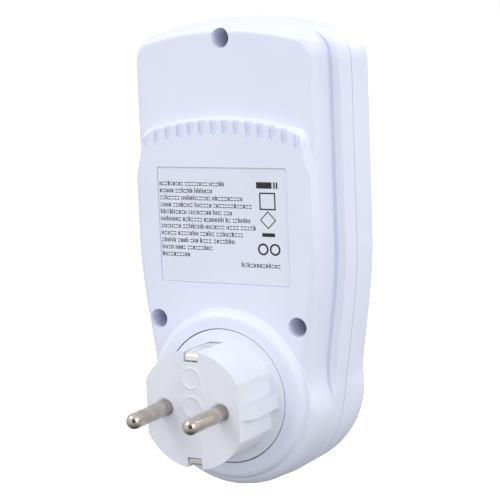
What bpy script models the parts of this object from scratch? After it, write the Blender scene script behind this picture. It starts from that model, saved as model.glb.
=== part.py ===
"""Plug-in power meter: a two-shell housing with a wall plug on its rear, a socket on its front, and a
display with keys above the socket.

Metres, +Z up. The origin is the centre of the plug's front face, between the two pins. +Y points at the
wall, so the pins run along +Y and the housing lies towards -Y, and +X is on the right seen from the front.
"""

import math

import bmesh
import bpy
from mathutils import Matrix, Vector

MM = 0.001

# Clearances
GAP = 0.3 * MM  # between pieces that touch
WELD = 0.7 * MM  # how far a post runs into the wall it stands on
BORE_GAP = 0.2 * MM  # radial, round a pin, screw or stem
KEY_GAP = 0.35 * MM  # round a key in its opening

# Housing outline, seen along Y
HALF_WIDTH = 36.7 * MM
TOP = 113.7 * MM  # crown of the housing above the plug's axis
CORNER_RADIUS = 10.3 * MM
CROWN_RADIUS = 108.0 * MM
FLARE_ANGLE = math.radians(6.0)  # where the round bottom turns into the flared side
FLARE_TOP = 46.0 * MM
WALL = 2.0 * MM

# Housing depths: distances along -Y from the plug's face
FLANGE_DEPTH = 19.0 * MM
BOSS_HEIGHT = 3.0 * MM
PANEL_STEP = 3.0 * MM  # the upper panel lies deeper than the raised lower one
PANEL_ROUND = 4.0 * MM
PANEL_ROUND_WIDTH = 3.2 * MM
LEDGE_DEPTH = 33.0 * MM
SEAM_DEPTH = 38.5 * MM
FRONT_DEPTH = 56.0 * MM
FRONT_ROUND = 8.0 * MM
BULGE_INSET = 5.2 * MM  # from the outline to the bulge's wall
UPPER_INSET = 1.0 * MM  # more, round the upper panel
LEDGE_INSET = 4.2 * MM
BOTTOM_INSET = 2.8 * MM  # from a circle of the bottom's radius
SEAM_INSET = 1.6 * MM  # the same at the seam
FRONT_DRAFT = 8.0 * MM  # depth past the seam where that inset ends
TOP_INSET = 2.0 * MM
TOP_ROUND_WIDTH = 2.5 * MM
GROOVE_DEPTH = 0.6 * MM  # of the groove between the bulge and the rim
LEDGE_FADE_LOW = -6.0 * MM
LEDGE_FADE_HIGH = 10.0 * MM
TOP_FADE_START = 0.3  # upward part of the outline's normal, where the groove starts to fade
TOP_FADE_END = 0.98

# Raised panel, vents and label
ARCH_DROP = 29.1 * MM  # from the crown to the arch's apex
ARCH_RADIUS = 91.3 * MM
ARCH_SLOPE = 1.6 * MM
VENT_COUNT = 14
VENT_PITCH = 4.0 * MM
VENT_WIDTH = 2.2 * MM
VENT_LENGTH = 4.0 * MM
VENT_DEPTH = 1.2 * MM
LABEL_WIDTH = 45.0 * MM
LABEL_RECESS = 0.5 * MM
LABEL_THICKNESS = 0.2 * MM
LABEL_BELOW_ARCH = 15.2 * MM
LABEL_ABOVE_BOSS = 7.7 * MM

# Plug
PIN_SPACING = 19.0 * MM
PIN_RADIUS = 2.4 * MM
PIN_LENGTH = 19.0 * MM
PLUG_RADIUS = PIN_SPACING / 2 + 8.3 * MM
PLUG_FLATS = 2 * PLUG_RADIUS - 4.0 * MM
PLUG_FACE_WALL = 5.0 * MM
PLUG_WALL = 2.4 * MM
RIB_WIDTH = 2 * PLUG_RADIUS + 1.2 * MM
RIB_HEIGHT = 4.3 * MM
RIB_START = 1.3 * MM
RIB_RAMP = 3.2 * MM
INSERT_RADIUS = PLUG_RADIUS + 2.8 * MM
RETAINER_RADIUS = INSERT_RADIUS + 2.0 * MM
RETAINER_THICKNESS = 2.0 * MM
BOSS_FOOT_RADIUS = INSERT_RADIUS + 5.8 * MM
BARRIER_THICKNESS = 3.0 * MM
CHAMBER_HEIGHT = 18.0 * MM
EARTH_CHANNEL_WIDTH = 6.2 * MM
EARTH_CHANNEL_DEPTH = 1.8 * MM
EARTH_CHANNEL_LENGTH = 16.0 * MM
EARTH_STRIP_WIDTH = 5.0 * MM
EARTH_STRIP_THICKNESS = 0.8 * MM

# Socket
SOCKET_RADIUS = PLUG_RADIUS + 1.7 * MM
SOCKET_DEPTH = 17.5 * MM
SOCKET_WALL = 2.0 * MM
SOCKET_PROUD = 0.8 * MM
SOCKET_FLOOR = 2.0 * MM
SOCKET_LIP = 2.0 * MM
SOCKET_FLATS = PLUG_FLATS + 1.6 * MM
SOCKET_GROOVE_WIDTH = RIB_WIDTH + 1.2 * MM
SOCKET_GROOVE_HEIGHT = 5.4 * MM
SOCKET_HOLE_RADIUS = 3.0 * MM
SHUTTER_RADIUS = 13.3 * MM
SHUTTER_ARM = 6.9 * MM
SHUTTER_THICKNESS = 1.6 * MM
SHUTTER_POST_RADIUS = 2.0 * MM
SPRING_SPACE = 3.3 * MM
SPRING_TURNS = 4
SPRING_WIRE = 0.25 * MM
COVER_THICKNESS = 1.5 * MM
CONTACT_WIDTH = 5.0 * MM
CONTACT_THICKNESS = 0.8 * MM
CONTACT_OPENING = 5.2 * MM

# Housing screws
SCREW_X_MARGIN = 12.5 * MM  # from the housing's side
SCREW_Z = 22.1 * MM
TOP_SCREW_DROP = 5.9 * MM
WELL_RADIUS = 3.0 * MM
COLUMN_RADIUS = 4.25 * MM
COLUMN_FLOOR = 2.0 * MM
SCREW_RADIUS = 1.45 * MM
SCREW_HEAD_RADIUS = 2.6 * MM
SCREW_HEAD_HEIGHT = 2.0 * MM
SCREW_LENGTH = 12.0 * MM

# Boards
BOARD_THICKNESS = 1.6 * MM
MAIN_BOARD_DEPTH = 32.4 * MM
MAIN_BOARD_MARGIN = 9.7 * MM  # from the housing's side
DISPLAY_BOARD_DEPTH = 46.4 * MM
DISPLAY_BOARD_MARGIN = 4.7 * MM
BOARD_END_MARGIN = 1.4 * MM
POST_RADIUS = 2.5 * MM
POST_INSET = 2.7 * MM
POST_END_INSET = 4.0 * MM
BOARD_SCREW_RADIUS = 1.1 * MM
BOARD_SCREW_LENGTH = 5.0 * MM
BOARD_SCREW_HEAD_RADIUS = 2.1 * MM
BOARD_SCREW_HEAD_HEIGHT = 1.3 * MM

# Pieces on the boards: width, height and thickness, and the lower left corner or the start of the axis,
# measured up from the board's lower end, or down from its upper end where the place is called a drop
CAPACITOR_SIZE = (18.0 * MM, 11.0 * MM, 9.0 * MM)
CAPACITOR_PLACE = (-23.0 * MM, 4.5 * MM)
VARISTOR_RADIUS = 4.5 * MM
VARISTOR_THICKNESS = 4.0 * MM
VARISTOR_PLACE = (4.0 * MM, 9.0 * MM)
RESISTOR_RADIUS = 1.7 * MM
RESISTOR_LENGTH = 10.0 * MM
RESISTOR_PLACE = (11.5 * MM, 9.0 * MM)
METER_CHIP_SIZE = (10.0 * MM, 6.0 * MM, 1.8 * MM)
METER_CHIP_PLACE = (7.0 * MM, 17.0 * MM)
FILTER_RADIUS = 4.0 * MM
FILTER_LENGTH = 11.0 * MM
FILTER_PLACE = (-14.0 * MM, 18.5 * MM)
BATTERY_RADIUS = 5.4 * MM
BATTERY_LENGTH = 16.0 * MM
BATTERY_PLACE = (10.0 * MM, 22.0 * MM)  # a drop
HEADER_SIZE = (12.0 * MM, 2.5 * MM)
HEADER_PLACE = (-8.0 * MM, 6.0 * MM)  # a drop
CONTROLLER_SIZE = (10.0 * MM, 10.0 * MM, 1.2 * MM)
CONTROLLER_PLACE = (-18.0 * MM, 21.0 * MM)  # a drop

# Display and keys
WINDOW_WIDTH = 50.0 * MM
WINDOW_HEIGHT = 34.0 * MM
WINDOW_THICKNESS = 1.3 * MM
WINDOW_SEAT = 2.0 * MM
WINDOW_DROP = 30.7 * MM  # from the crown to the window's centre
LCD_THICKNESS = 2.6 * MM
LCD_BEHIND_WINDOW = 2.7 * MM
HOLDER_WALL = 2.4 * MM
KEY_COUNT = 4
KEY_PITCH = 13.0 * MM
KEY_WIDTH = 9.5 * MM
KEY_HEIGHT = 7.5 * MM
KEY_PROUD = 1.2 * MM
KEY_FLANGE = 0.8 * MM
KEY_LIP = 1.0 * MM
KEY_TRAVEL = 0.8 * MM
RESET_RADIUS = 1.7 * MM
RESET_DROP = 10.5 * MM
SWITCH_SIZE = 6.0 * MM
SWITCH_HEIGHT = 3.5 * MM
SWITCH_FLOOR = 0.8 * MM
PLUNGER_RADIUS = 1.7 * MM

# Places worked out from the sizes above
BACK_DEPTH = FLANGE_DEPTH + BOSS_HEIGHT
UPPER_DEPTH = BACK_DEPTH + PANEL_STEP
CORNER_X = HALF_WIDTH - CORNER_RADIUS
CROWN_Z = TOP - CROWN_RADIUS
CORNER_Z = CROWN_Z + math.sqrt((CROWN_RADIUS - CORNER_RADIUS) ** 2 - CORNER_X**2)
ARCH_Z = TOP - ARCH_DROP
LABEL_TOP = ARCH_Z - LABEL_BELOW_ARCH
LABEL_BOTTOM = BOSS_FOOT_RADIUS + LABEL_ABOVE_BOSS
SCREW_X = HALF_WIDTH - SCREW_X_MARGIN
TOP_SCREW_Z = TOP - TOP_SCREW_DROP
BOARD_BOTTOM = SCREW_Z + COLUMN_RADIUS + BOARD_END_MARGIN
BOARD_TOP = TOP_SCREW_Z - COLUMN_RADIUS - BOARD_END_MARGIN
COLUMN_DEPTH = SEAM_DEPTH + COLUMN_FLOOR
FRONT_INNER = FRONT_DEPTH - WALL
SOCKET_MOUTH = FRONT_DEPTH + SOCKET_PROUD
SOCKET_FLOOR_DEPTH = SOCKET_MOUTH - SOCKET_DEPTH
SOCKET_BACK = SOCKET_FLOOR_DEPTH - SOCKET_FLOOR
SOCKET_OUTER = SOCKET_RADIUS + SOCKET_WALL
BOTTOM_RADIUS = max(SOCKET_RADIUS + 12.9 * MM, INSERT_RADIUS + 11.8 * MM)  # half width at the socket
BOTTOM_DROP = BOTTOM_RADIUS - 3.2 * MM  # below the axis: the bottom is slightly flatter than round
BOARD_REACH = min(HALF_WIDTH, BOTTOM_RADIUS + 4.3 * MM)  # the boards' margins count from here
SHUTTER_DEPTH = SOCKET_BACK - GAP - SHUTTER_THICKNESS
COVER_DEPTH = SHUTTER_DEPTH - SPRING_SPACE
WINDOW_Z = TOP - WINDOW_DROP
WINDOW_BACK = FRONT_DEPTH - WINDOW_THICKNESS
LCD_FRONT = FRONT_DEPTH - LCD_BEHIND_WINDOW
LCD_BACK = LCD_FRONT - LCD_THICKNESS
DISPLAY_BOARD_FRONT = DISPLAY_BOARD_DEPTH + BOARD_THICKNESS
MAIN_BOARD_FRONT = MAIN_BOARD_DEPTH + BOARD_THICKNESS
KEY_Z = (SOCKET_OUTER + WINDOW_Z - WINDOW_HEIGHT / 2) / 2
KEY_BACK = FRONT_INNER - GAP - KEY_FLANGE
SWITCH_FRONT = DISPLAY_BOARD_FRONT + GAP + SWITCH_HEIGHT

SEAM_LOW = SEAM_DEPTH - GAP / 2
SEAM_HIGH = SEAM_DEPTH + GAP / 2
AXIS_SIDES = 48


def clear_scene():
    for obj in list(bpy.data.objects):
        bpy.data.objects.remove(obj, do_unlink=True)
    parts = bpy.data.collections.new("plug_in_power_meter")
    cutters = bpy.data.collections.new("cutters")
    for collection in (parts, cutters):
        bpy.context.scene.collection.children.link(collection)
    cutters.hide_render = True
    return parts, cutters


PARTS, CUTTERS = clear_scene()


def material(name, colour, roughness, metallic=0.0, alpha=1.0):
    made = bpy.data.materials.new(name)
    made.use_nodes = True
    shader = made.node_tree.nodes["Principled BSDF"]
    shader.inputs["Base Color"].default_value = (*colour, 1.0)
    shader.inputs["Roughness"].default_value = roughness
    shader.inputs["Metallic"].default_value = metallic
    shader.inputs["Alpha"].default_value = alpha
    return made


FINISHES = {
    "white_abs": ((0.84, 0.84, 0.87), 0.35, 0.0),
    "white_insert": ((0.78, 0.78, 0.81), 0.4, 0.0),
    "key_plastic": ((0.25, 0.3, 0.4), 0.45, 0.0),
    "nickel": ((0.62, 0.58, 0.53), 0.25, 1.0),
    "spring_brass": ((0.72, 0.55, 0.25), 0.3, 1.0),
    "copper_alloy": ((0.62, 0.4, 0.25), 0.35, 1.0),
    "zinc_steel": ((0.55, 0.56, 0.58), 0.35, 1.0),
    "black_plastic": ((0.03, 0.03, 0.035), 0.5, 0.0),
    "grey_plastic": ((0.35, 0.36, 0.38), 0.5, 0.0),
    "board_laminate": ((0.05, 0.22, 0.1), 0.5, 0.0),
    "display_glass": ((0.45, 0.5, 0.42), 0.15, 0.0),
    "clear_window": ((0.8, 0.83, 0.85), 0.08, 0.0),
    "printed_label": ((0.76, 0.76, 0.79), 0.45, 0.0),
    "capacitor_yellow": ((0.75, 0.6, 0.12), 0.4, 0.0),
    "varistor_blue": ((0.08, 0.18, 0.45), 0.4, 0.0),
    "battery_wrap": ((0.1, 0.35, 0.2), 0.4, 0.0),
    "wire_red": ((0.5, 0.05, 0.04), 0.4, 0.0),
    "wire_blue": ((0.05, 0.12, 0.5), 0.4, 0.0),
}
MATERIALS = {name: material(name, *finish) for name, finish in FINISHES.items()}


def place(obj, finish):
    """Files an object with the parts and gives it its material, or with the cutters when finish is None."""
    if finish is None:
        CUTTERS.objects.link(obj)
        obj.hide_render = True
        obj.display_type = "WIRE"
    else:
        PARTS.objects.link(obj)
        obj.data.materials.clear()
        obj.data.materials.append(MATERIALS[finish])
    return obj


def from_bmesh(name, bm, finish):
    bmesh.ops.recalc_face_normals(bm, faces=bm.faces)
    mesh = bpy.data.meshes.new(name)
    bm.to_mesh(mesh)
    bm.free()
    mesh.shade_smooth()
    mesh.set_sharp_from_angle(angle=math.radians(35.0))
    return place(bpy.data.objects.new(name, mesh), finish)


def block(name, low, high, finish=None):
    """A box between two corners."""
    low, high = Vector(low), Vector(high)
    bm = bmesh.new()
    size = Matrix.Diagonal((*(high - low), 1.0))
    bmesh.ops.create_cube(bm, size=1.0, matrix=Matrix.Translation((low + high) / 2) @ size)
    return from_bmesh(name, bm, finish)


def rod(name, radius, start, end, finish=None, sides=24, end_radius=None):
    """A cylinder, or a cone where end_radius differs, from start to end."""
    start, end = Vector(start), Vector(end)
    run = end - start
    turn = run.to_track_quat("Z", "Y").to_matrix().to_4x4()
    bm = bmesh.new()
    bmesh.ops.create_cone(
        bm,
        cap_ends=True,
        segments=sides,
        radius1=radius,
        radius2=radius if end_radius is None else end_radius,
        depth=run.length,
        matrix=Matrix.Translation((start + end) / 2) @ turn,
    )
    return from_bmesh(name, bm, finish)


def as_mesh(source, name, finish, merge=1e-6):
    """Turns a curve or a modified object into a plain mesh object in world space."""
    bpy.context.scene.collection.objects.link(source)
    bpy.context.view_layer.update()
    graph = bpy.context.evaluated_depsgraph_get()
    mesh = bpy.data.meshes.new_from_object(source.evaluated_get(graph))
    mesh.transform(source.matrix_world)
    bpy.data.objects.remove(source, do_unlink=True)
    bm = bmesh.new()
    bm.from_mesh(mesh)
    bpy.data.meshes.remove(mesh)
    bmesh.ops.remove_doubles(bm, verts=bm.verts, dist=merge)
    return from_bmesh(name, bm, finish)


def flat_outline(name, outlines, thickness, matrix, finish):
    """One or more closed outlines, the later ones being holes, filled and extruded both ways."""
    curve = bpy.data.curves.new(name, "CURVE")
    curve.dimensions = "2D"
    curve.fill_mode = "BOTH"
    curve.extrude = thickness / 2
    for points in outlines:
        spline = curve.splines.new("POLY")
        spline.points.add(len(points) - 1)
        for slot, (u, v) in zip(spline.points, points):
            slot.co = (u, v, 0.0, 1.0)
        spline.use_cyclic_u = True
    source = bpy.data.objects.new(name, curve)
    source.matrix_world = matrix
    return as_mesh(source, name, finish)


def plate(name, outlines, near, far, finish=None):
    """A plate whose outlines lie in X and Z, between two depths along -Y."""
    turn = Matrix.Rotation(math.radians(90.0), 4, "X")
    matrix = Matrix.Translation((0.0, -(near + far) / 2, 0.0)) @ turn
    return flat_outline(name, outlines, far - near, matrix, finish)


def strip(name, outline, centre_x, width, finish=None):
    """A strip whose outline is given as (depth, height) and which is width wide along X."""
    points = [(-depth, height) for depth, height in outline]
    turn = Matrix(((0, 0, 1, 0), (1, 0, 0, 0), (0, 1, 0, 0), (0, 0, 0, 1)))
    matrix = Matrix.Translation((centre_x, 0.0, 0.0)) @ turn
    return flat_outline(name, [points], width, matrix, finish)


def turned(name, profile, finish=None, x=0.0, z=0.0, steps=AXIS_SIDES, closed=False):
    """A profile of (radius, depth) turned about the line along Y at x, z."""
    mesh = bpy.data.meshes.new(name)
    edges = [(i, i + 1) for i in range(len(profile) - 1)]
    if closed:
        edges.append((len(profile) - 1, 0))
    mesh.from_pydata([(radius, 0.0, -depth) for radius, depth in profile], edges, [])
    source = bpy.data.objects.new(name, mesh)
    screw = source.modifiers.new("Turn", "SCREW")
    screw.steps = screw.render_steps = steps
    screw.use_merge_vertices = True
    screw.merge_threshold = 1e-6
    source.matrix_world = Matrix.Translation((x, 0.0, z)) @ Matrix.Rotation(math.radians(-90.0), 4, "X")
    return as_mesh(source, name, finish)


def loft(name, rings, finish=None):
    """A closed solid through rings with the same number of points."""
    bm = bmesh.new()
    loops = [[bm.verts.new(point) for point in ring] for ring in rings]
    count = len(loops[0])
    for low, high in zip(loops, loops[1:]):
        for i in range(count):
            j = (i + 1) % count
            bm.faces.new((low[i], low[j], high[j], high[i]))
    bm.faces.new(loops[0])
    bm.faces.new(reversed(loops[-1]))
    return from_bmesh(name, bm, finish)


def combine(target, cutter, operation="DIFFERENCE"):
    step = target.modifiers.new(f"{operation.title()} {cutter.name}", "BOOLEAN")
    step.object = cutter
    step.operation = operation
    # EXACT leaves open edges in these two, whose cuts meet curved walls at a shallow angle.
    step.solver = "MANIFOLD" if target.name in ("rear_shell", "socket_insert") else "EXACT"
    return target


def set_origin(obj, point):
    """Moves the object's origin to a point and leaves its shape where it is."""
    obj.data.transform(Matrix.Translation(-Vector(point)))
    obj.location = point


def circle(radius, count=24, x=0.0, z=0.0, start=0.0, end=360.0):
    """Points on a circle; the end point is left out when it closes."""
    closed = abs(end - start) >= 360.0
    steps = count if closed else count - 1
    angles = [math.radians(start + (end - start) * i / steps) for i in range(count)]
    return [(x + radius * math.cos(a), z + radius * math.sin(a)) for a in angles]


def rounded_rectangle(width, height, radius, x=0.0, z=0.0, count=5):
    points = []
    for quarter, (sx, sz) in enumerate(((1, 1), (-1, 1), (-1, -1), (1, -1))):
        cx, cz = x + sx * (width / 2 - radius), z + sz * (height / 2 - radius)
        points += circle(radius, count, cx, cz, 90.0 * quarter, 90.0 * quarter + 90.0)
    return points


def bezier(p0, p1, p2, p3, t):
    s = 1.0 - t
    weights = (s**3, 3 * s * s * t, 3 * s * t * t, t**3)
    return tuple(sum(w * p[k] for w, p in zip(weights, (p0, p1, p2, p3))) for k in (0, 1))


def smooth_step(low, high, value):
    t = min(max((value - low) / (high - low), 0.0), 1.0)
    return t * t * (3 - 2 * t)


# Housing outline -------------------------------------------------------------------------------


def half_outline():
    """The right half of the housing's outline, from the bottom to the crown."""
    points = circle(BOTTOM_RADIUS, 14, 0.0, 0.0, -90.0, math.degrees(FLARE_ANGLE))
    points = [(x, z * BOTTOM_DROP / BOTTOM_RADIUS if z < 0 else z) for x, z in points]
    start = points[-1]
    lean = (FLARE_TOP - start[1]) * 0.12
    first = (start[0] - lean * math.sin(FLARE_ANGLE), start[1] + lean * math.cos(FLARE_ANGLE))
    last = (HALF_WIDTH, FLARE_TOP)
    second = (HALF_WIDTH, start[1] + (FLARE_TOP - start[1]) * 0.62)
    points += [bezier(start, first, second, last, i / 6) for i in range(1, 7)]
    tangent = math.degrees(math.atan2(CORNER_Z - CROWN_Z, CORNER_X))
    points += circle(CORNER_RADIUS, 9, CORNER_X, CORNER_Z, 0.0, tangent)
    points += circle(CROWN_RADIUS, 6, 0.0, CROWN_Z, tangent, 90.0)[1:]
    return points


def outline_with_normals():
    """The whole outline, counter-clockwise from the bottom, each point with its outward normal."""
    right = half_outline()
    left = [(-x, z) for x, z in reversed(right[1:-1])]
    points = right + left
    result = []
    for i, point in enumerate(points):
        before, after = Vector(points[i - 1]), Vector(points[(i + 1) % len(points)])
        along = (after - before).normalized()
        result.append((Vector(point), Vector((along.y, -along.x))))
    return result


OUTLINE = outline_with_normals()


def ring(side, depth, bottom=None, top=None, grow=0.0):
    """The outline moved in by side at a depth, and then by grow all round.

    The round bottom and the crown can have their own insets. The bottom's is counted from a circle, so
    that the bulge stays round there inside the flatter outline.
    """
    bottom = side if bottom is None else bottom
    top = side if top is None else top
    points = []
    for point, normal in OUTLINE:
        low = max(bottom - (BOTTOM_RADIUS - point.length), 0.0) if point.y < 0 else bottom
        inset = low + (side - low) * smooth_step(LEDGE_FADE_LOW, LEDGE_FADE_HIGH, point.y)
        inset += (top - inset) * smooth_step(TOP_FADE_START, TOP_FADE_END, normal.y)
        moved = point - normal * (inset + grow)
        points.append((moved.x, -depth, moved.y))
    return points


# Rear shell ------------------------------------------------------------------------------------


def edge_rings(back, grow=0.0, more=0.0, count=3):
    """Rings of the rounded edge from the flat back down to the bulge's wall; more insets the sides only."""
    rings = []
    for i in range(count + 1):
        angle = math.radians(90.0 * i / count)
        out, down = 1 - math.sin(angle), PANEL_ROUND * (1 - math.cos(angle))
        side = BULGE_INSET + more + PANEL_ROUND_WIDTH * out
        bottom = BOTTOM_INSET + PANEL_ROUND_WIDTH * out
        top = TOP_INSET + TOP_ROUND_WIDTH * out
        rings.append(ring(side, back + grow + down, bottom, top, grow))
    return rings


def wall_insets(depth):
    """The bulge wall's insets at a depth: at the sides, at the round bottom and at the crown."""
    start = BACK_DEPTH + PANEL_ROUND
    side = BULGE_INSET + (LEDGE_INSET - BULGE_INSET) * (depth - start) / (LEDGE_DEPTH - start)
    left = min(1.0, (SEAM_DEPTH - depth) / (SEAM_DEPTH - start))
    return side, SEAM_INSET + (BOTTOM_INSET - SEAM_INSET) * left, TOP_INSET * left


def rear_body_rings(back, grow=0.0):
    """The rear shell's outer surface from its flat back to the seam; grow moves it inwards."""
    rings = edge_rings(back, grow, UPPER_INSET)
    floor = LEDGE_DEPTH + GROOVE_DEPTH
    side, bottom, top = wall_insets(floor)
    rings.append(ring(side, floor + grow, bottom, top, grow))
    rim = SEAM_DEPTH - floor
    for along, out in ((0.05, 0.52), (0.3, 0.21), (0.64, 0.04)):
        depth = floor + rim * along
        bottom, top = wall_insets(depth)[1:]
        rings.append(ring(LEDGE_INSET * out, depth + grow, bottom, top, grow))
    return rings


def arch_outline(rise, reach):
    """The region above the raised panel's arched edge; rise lifts the edge along the slope."""
    corner = CORNER_RADIUS / 2
    inner = HALF_WIDTH - BULGE_INSET - corner + 1.0 * MM
    radius = ARCH_RADIUS + rise
    centre = ARCH_Z - ARCH_RADIUS
    angle = math.degrees(math.acos(inner / radius))
    points = circle(radius, 15, 0.0, centre, angle, 180.0 - angle)
    edge = Vector(points[0])
    corner_points = circle(corner + rise, 5, edge.x - rise, edge.y - corner, 8.0, 70.0)
    right = [(reach, edge.y - corner - 2.0 * MM), (corner_points[0][0], edge.y - corner - 2.0 * MM)]
    right += corner_points
    left = [(-x, z) for x, z in reversed(right)]
    return right + points[1:-1] + left + [(-reach, TOP + reach), (reach, TOP + reach)]


def arch_cutter():
    reach = HALF_WIDTH * 1.2
    low = [(x, -(BACK_DEPTH - 1.0 * MM), z) for x, z in arch_outline(-ARCH_SLOPE, reach)]
    edge = arch_outline(0.0, reach)
    floor, end = UPPER_DEPTH + 0.01 * MM, UPPER_DEPTH + PANEL_ROUND + 1.0 * MM
    return loft("arch_cutter", [low] + [[(x, -depth, z) for x, z in edge] for depth in (floor, end)])


def vent_cutters():
    """Blind U-shaped grooves that open at the arched edge."""
    cutters = []
    for i in range(VENT_COUNT):
        x = (i - (VENT_COUNT - 1) / 2) * VENT_PITCH
        edge = ARCH_Z - ARCH_RADIUS + math.sqrt(ARCH_RADIUS**2 - x * x)
        centre = edge - ARCH_SLOPE - VENT_LENGTH + VENT_WIDTH / 2
        outline = circle(VENT_WIDTH / 2, 7, x, centre, 180.0, 360.0)
        outline += [(x + VENT_WIDTH / 2, edge + ARCH_SLOPE), (x - VENT_WIDTH / 2, edge + ARCH_SLOPE)]
        name = f"vent_cutter_{i + 1}"
        cutters.append(plate(name, [outline], BACK_DEPTH - 1.0 * MM, BACK_DEPTH + VENT_DEPTH))
    return cutters


def screw_places():
    return {"left": (-SCREW_X, SCREW_Z), "right": (SCREW_X, SCREW_Z), "top": (0.0, TOP_SCREW_Z)}


def main_board_posts():
    x = BOARD_REACH - MAIN_BOARD_MARGIN - POST_INSET
    return {"left": (-x, BOARD_TOP - POST_END_INSET), "right": (x, BOARD_TOP - POST_END_INSET)}


def raised_panel():
    rings = edge_rings(BACK_DEPTH, -0.05 * MM)
    below = UPPER_DEPTH + PANEL_ROUND
    side, bottom, top = wall_insets(below)
    rings.append(ring(side, below, bottom, top, 0.4 * MM))
    return combine(loft("raised_panel", rings), arch_cutter())


def hollows():
    """The space inside the rear shell, and the deeper one under the raised panel."""
    main = edge_rings(UPPER_DEPTH, WALL, UPPER_INSET)
    side, bottom, top = wall_insets(LEDGE_DEPTH)
    main.append(ring(side, LEDGE_DEPTH + WALL * 0.6, bottom, top, WALL))
    main.append(ring(0.0, LEDGE_DEPTH + WALL * 1.6, *wall_insets(LEDGE_DEPTH + WALL)[1:], WALL))
    main.append(ring(0.0, SEAM_DEPTH + WALL, SEAM_INSET, 0.0, WALL))
    panel = loft("panel_hollow", edge_rings(BACK_DEPTH, WALL))
    combine(panel, plate("hollow_limit", [arch_outline(-WALL * 2, HALF_WIDTH * 1.3)], 0.0, FRONT_DEPTH))
    return loft("rear_hollow", main), panel


def seam_ring(depth, grow=0.0):
    return ring(0.0, depth, SEAM_INSET, 0.0, grow)


def column_limit(back):
    """What a rear column may fill: the rear shell less its outer skin, then the front shell's inside."""
    rings = rear_body_rings(back, WALL * 0.5)
    rings += [seam_ring(SEAM_LOW - GAP, WALL + GAP), seam_ring(FRONT_DEPTH, WALL + GAP)]
    return loft("column_limit", rings)


def rear_shell():
    shell = loft("rear_shell", rear_body_rings(UPPER_DEPTH) + [seam_ring(SEAM_LOW)], "white_abs")
    combine(shell, raised_panel(), "UNION")
    foot, rim = BOSS_FOOT_RADIUS, INSERT_RADIUS + GAP
    boss = turned(
        "plug_boss",
        [
            (foot, BACK_DEPTH + 0.5 * MM),
            (foot, BACK_DEPTH),
            (foot - 0.5 * MM, BACK_DEPTH - 0.37 * BOSS_HEIGHT),
            (foot - 1.4 * MM, BACK_DEPTH - 0.75 * BOSS_HEIGHT),
            (foot - 2.8 * MM, FLANGE_DEPTH + 0.05 * BOSS_HEIGHT),
            (rim + 0.6 * MM, FLANGE_DEPTH),
            (rim - 1.0 * MM, FLANGE_DEPTH),
            (rim - 1.0 * MM, BACK_DEPTH + 0.5 * MM),
        ],
        closed=True,
    )
    combine(shell, boss, "UNION")
    for hollow in hollows():
        combine(shell, hollow)
    for side, (x, z) in screw_places().items():
        back = UPPER_DEPTH if side == "top" else BACK_DEPTH
        column = rod(f"column_{side}", COLUMN_RADIUS, (x, -back, z), (x, -COLUMN_DEPTH, z))
        combine(shell, combine(column, column_limit(back), "INTERSECT"), "UNION")
        well = rod(f"well_{side}", WELL_RADIUS, (x, 0.0, z), (x, -SEAM_DEPTH, z))
        way = SCREW_RADIUS + BORE_GAP
        hole = rod(f"screw_way_{side}", way, (x, 0.0, z), (x, -FRONT_DEPTH, z), sides=16)
        combine(combine(shell, well), hole)
    for side, (x, z) in main_board_posts().items():
        near, far = UPPER_DEPTH + WELD, MAIN_BOARD_DEPTH - GAP
        post = rod(f"main_post_{side}", POST_RADIUS, (x, -near, z), (x, -far, z), sides=16)
        pilot = rod(
            f"main_pilot_{side}",
            BOARD_SCREW_RADIUS + BORE_GAP,
            (x, -UPPER_DEPTH - WALL - WELD, z),
            (x, -SEAM_DEPTH, z),
            sides=12,
        )
        combine(combine(shell, post, "UNION"), pilot)
    opening = INSERT_RADIUS + GAP
    combine(shell, rod("plug_opening", opening, (0, 0, 0), (0, -SEAM_DEPTH, 0), sides=AXIS_SIDES))
    for cutter in vent_cutters():
        combine(shell, cutter)
    recess = block(
        "label_recess",
        (-LABEL_WIDTH / 2, -BACK_DEPTH - LABEL_RECESS, LABEL_BOTTOM),
        (LABEL_WIDTH / 2, 0.0, LABEL_TOP),
    )
    return combine(shell, recess)


# Front shell -----------------------------------------------------------------------------------


def display_board_posts():
    x = BOARD_REACH - DISPLAY_BOARD_MARGIN - POST_INSET
    return {
        f"{row}_{side}": (sign * x, z)
        for row, z in (("upper", BOARD_TOP - POST_END_INSET), ("lower", BOARD_BOTTOM + POST_END_INSET))
        for side, sign in (("left", -1), ("right", 1))
    }


def key_places():
    """The keys' centres: a row of four, and the reset key below it."""
    names = ("function", "cost", "up", "down")
    places = {name: ((i - (KEY_COUNT - 1) / 2) * KEY_PITCH, KEY_Z) for i, name in enumerate(names)}
    places["reset"] = (0.0, KEY_Z - RESET_DROP)
    return places


def key_outline(name, grow):
    x, z = key_places()[name]
    if name == "reset":
        return circle(RESET_RADIUS + grow, 16, x, z)
    return rounded_rectangle(KEY_WIDTH + 2 * grow, KEY_HEIGHT + 2 * grow, 2.0 * MM + grow, x, z, 4)


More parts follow.
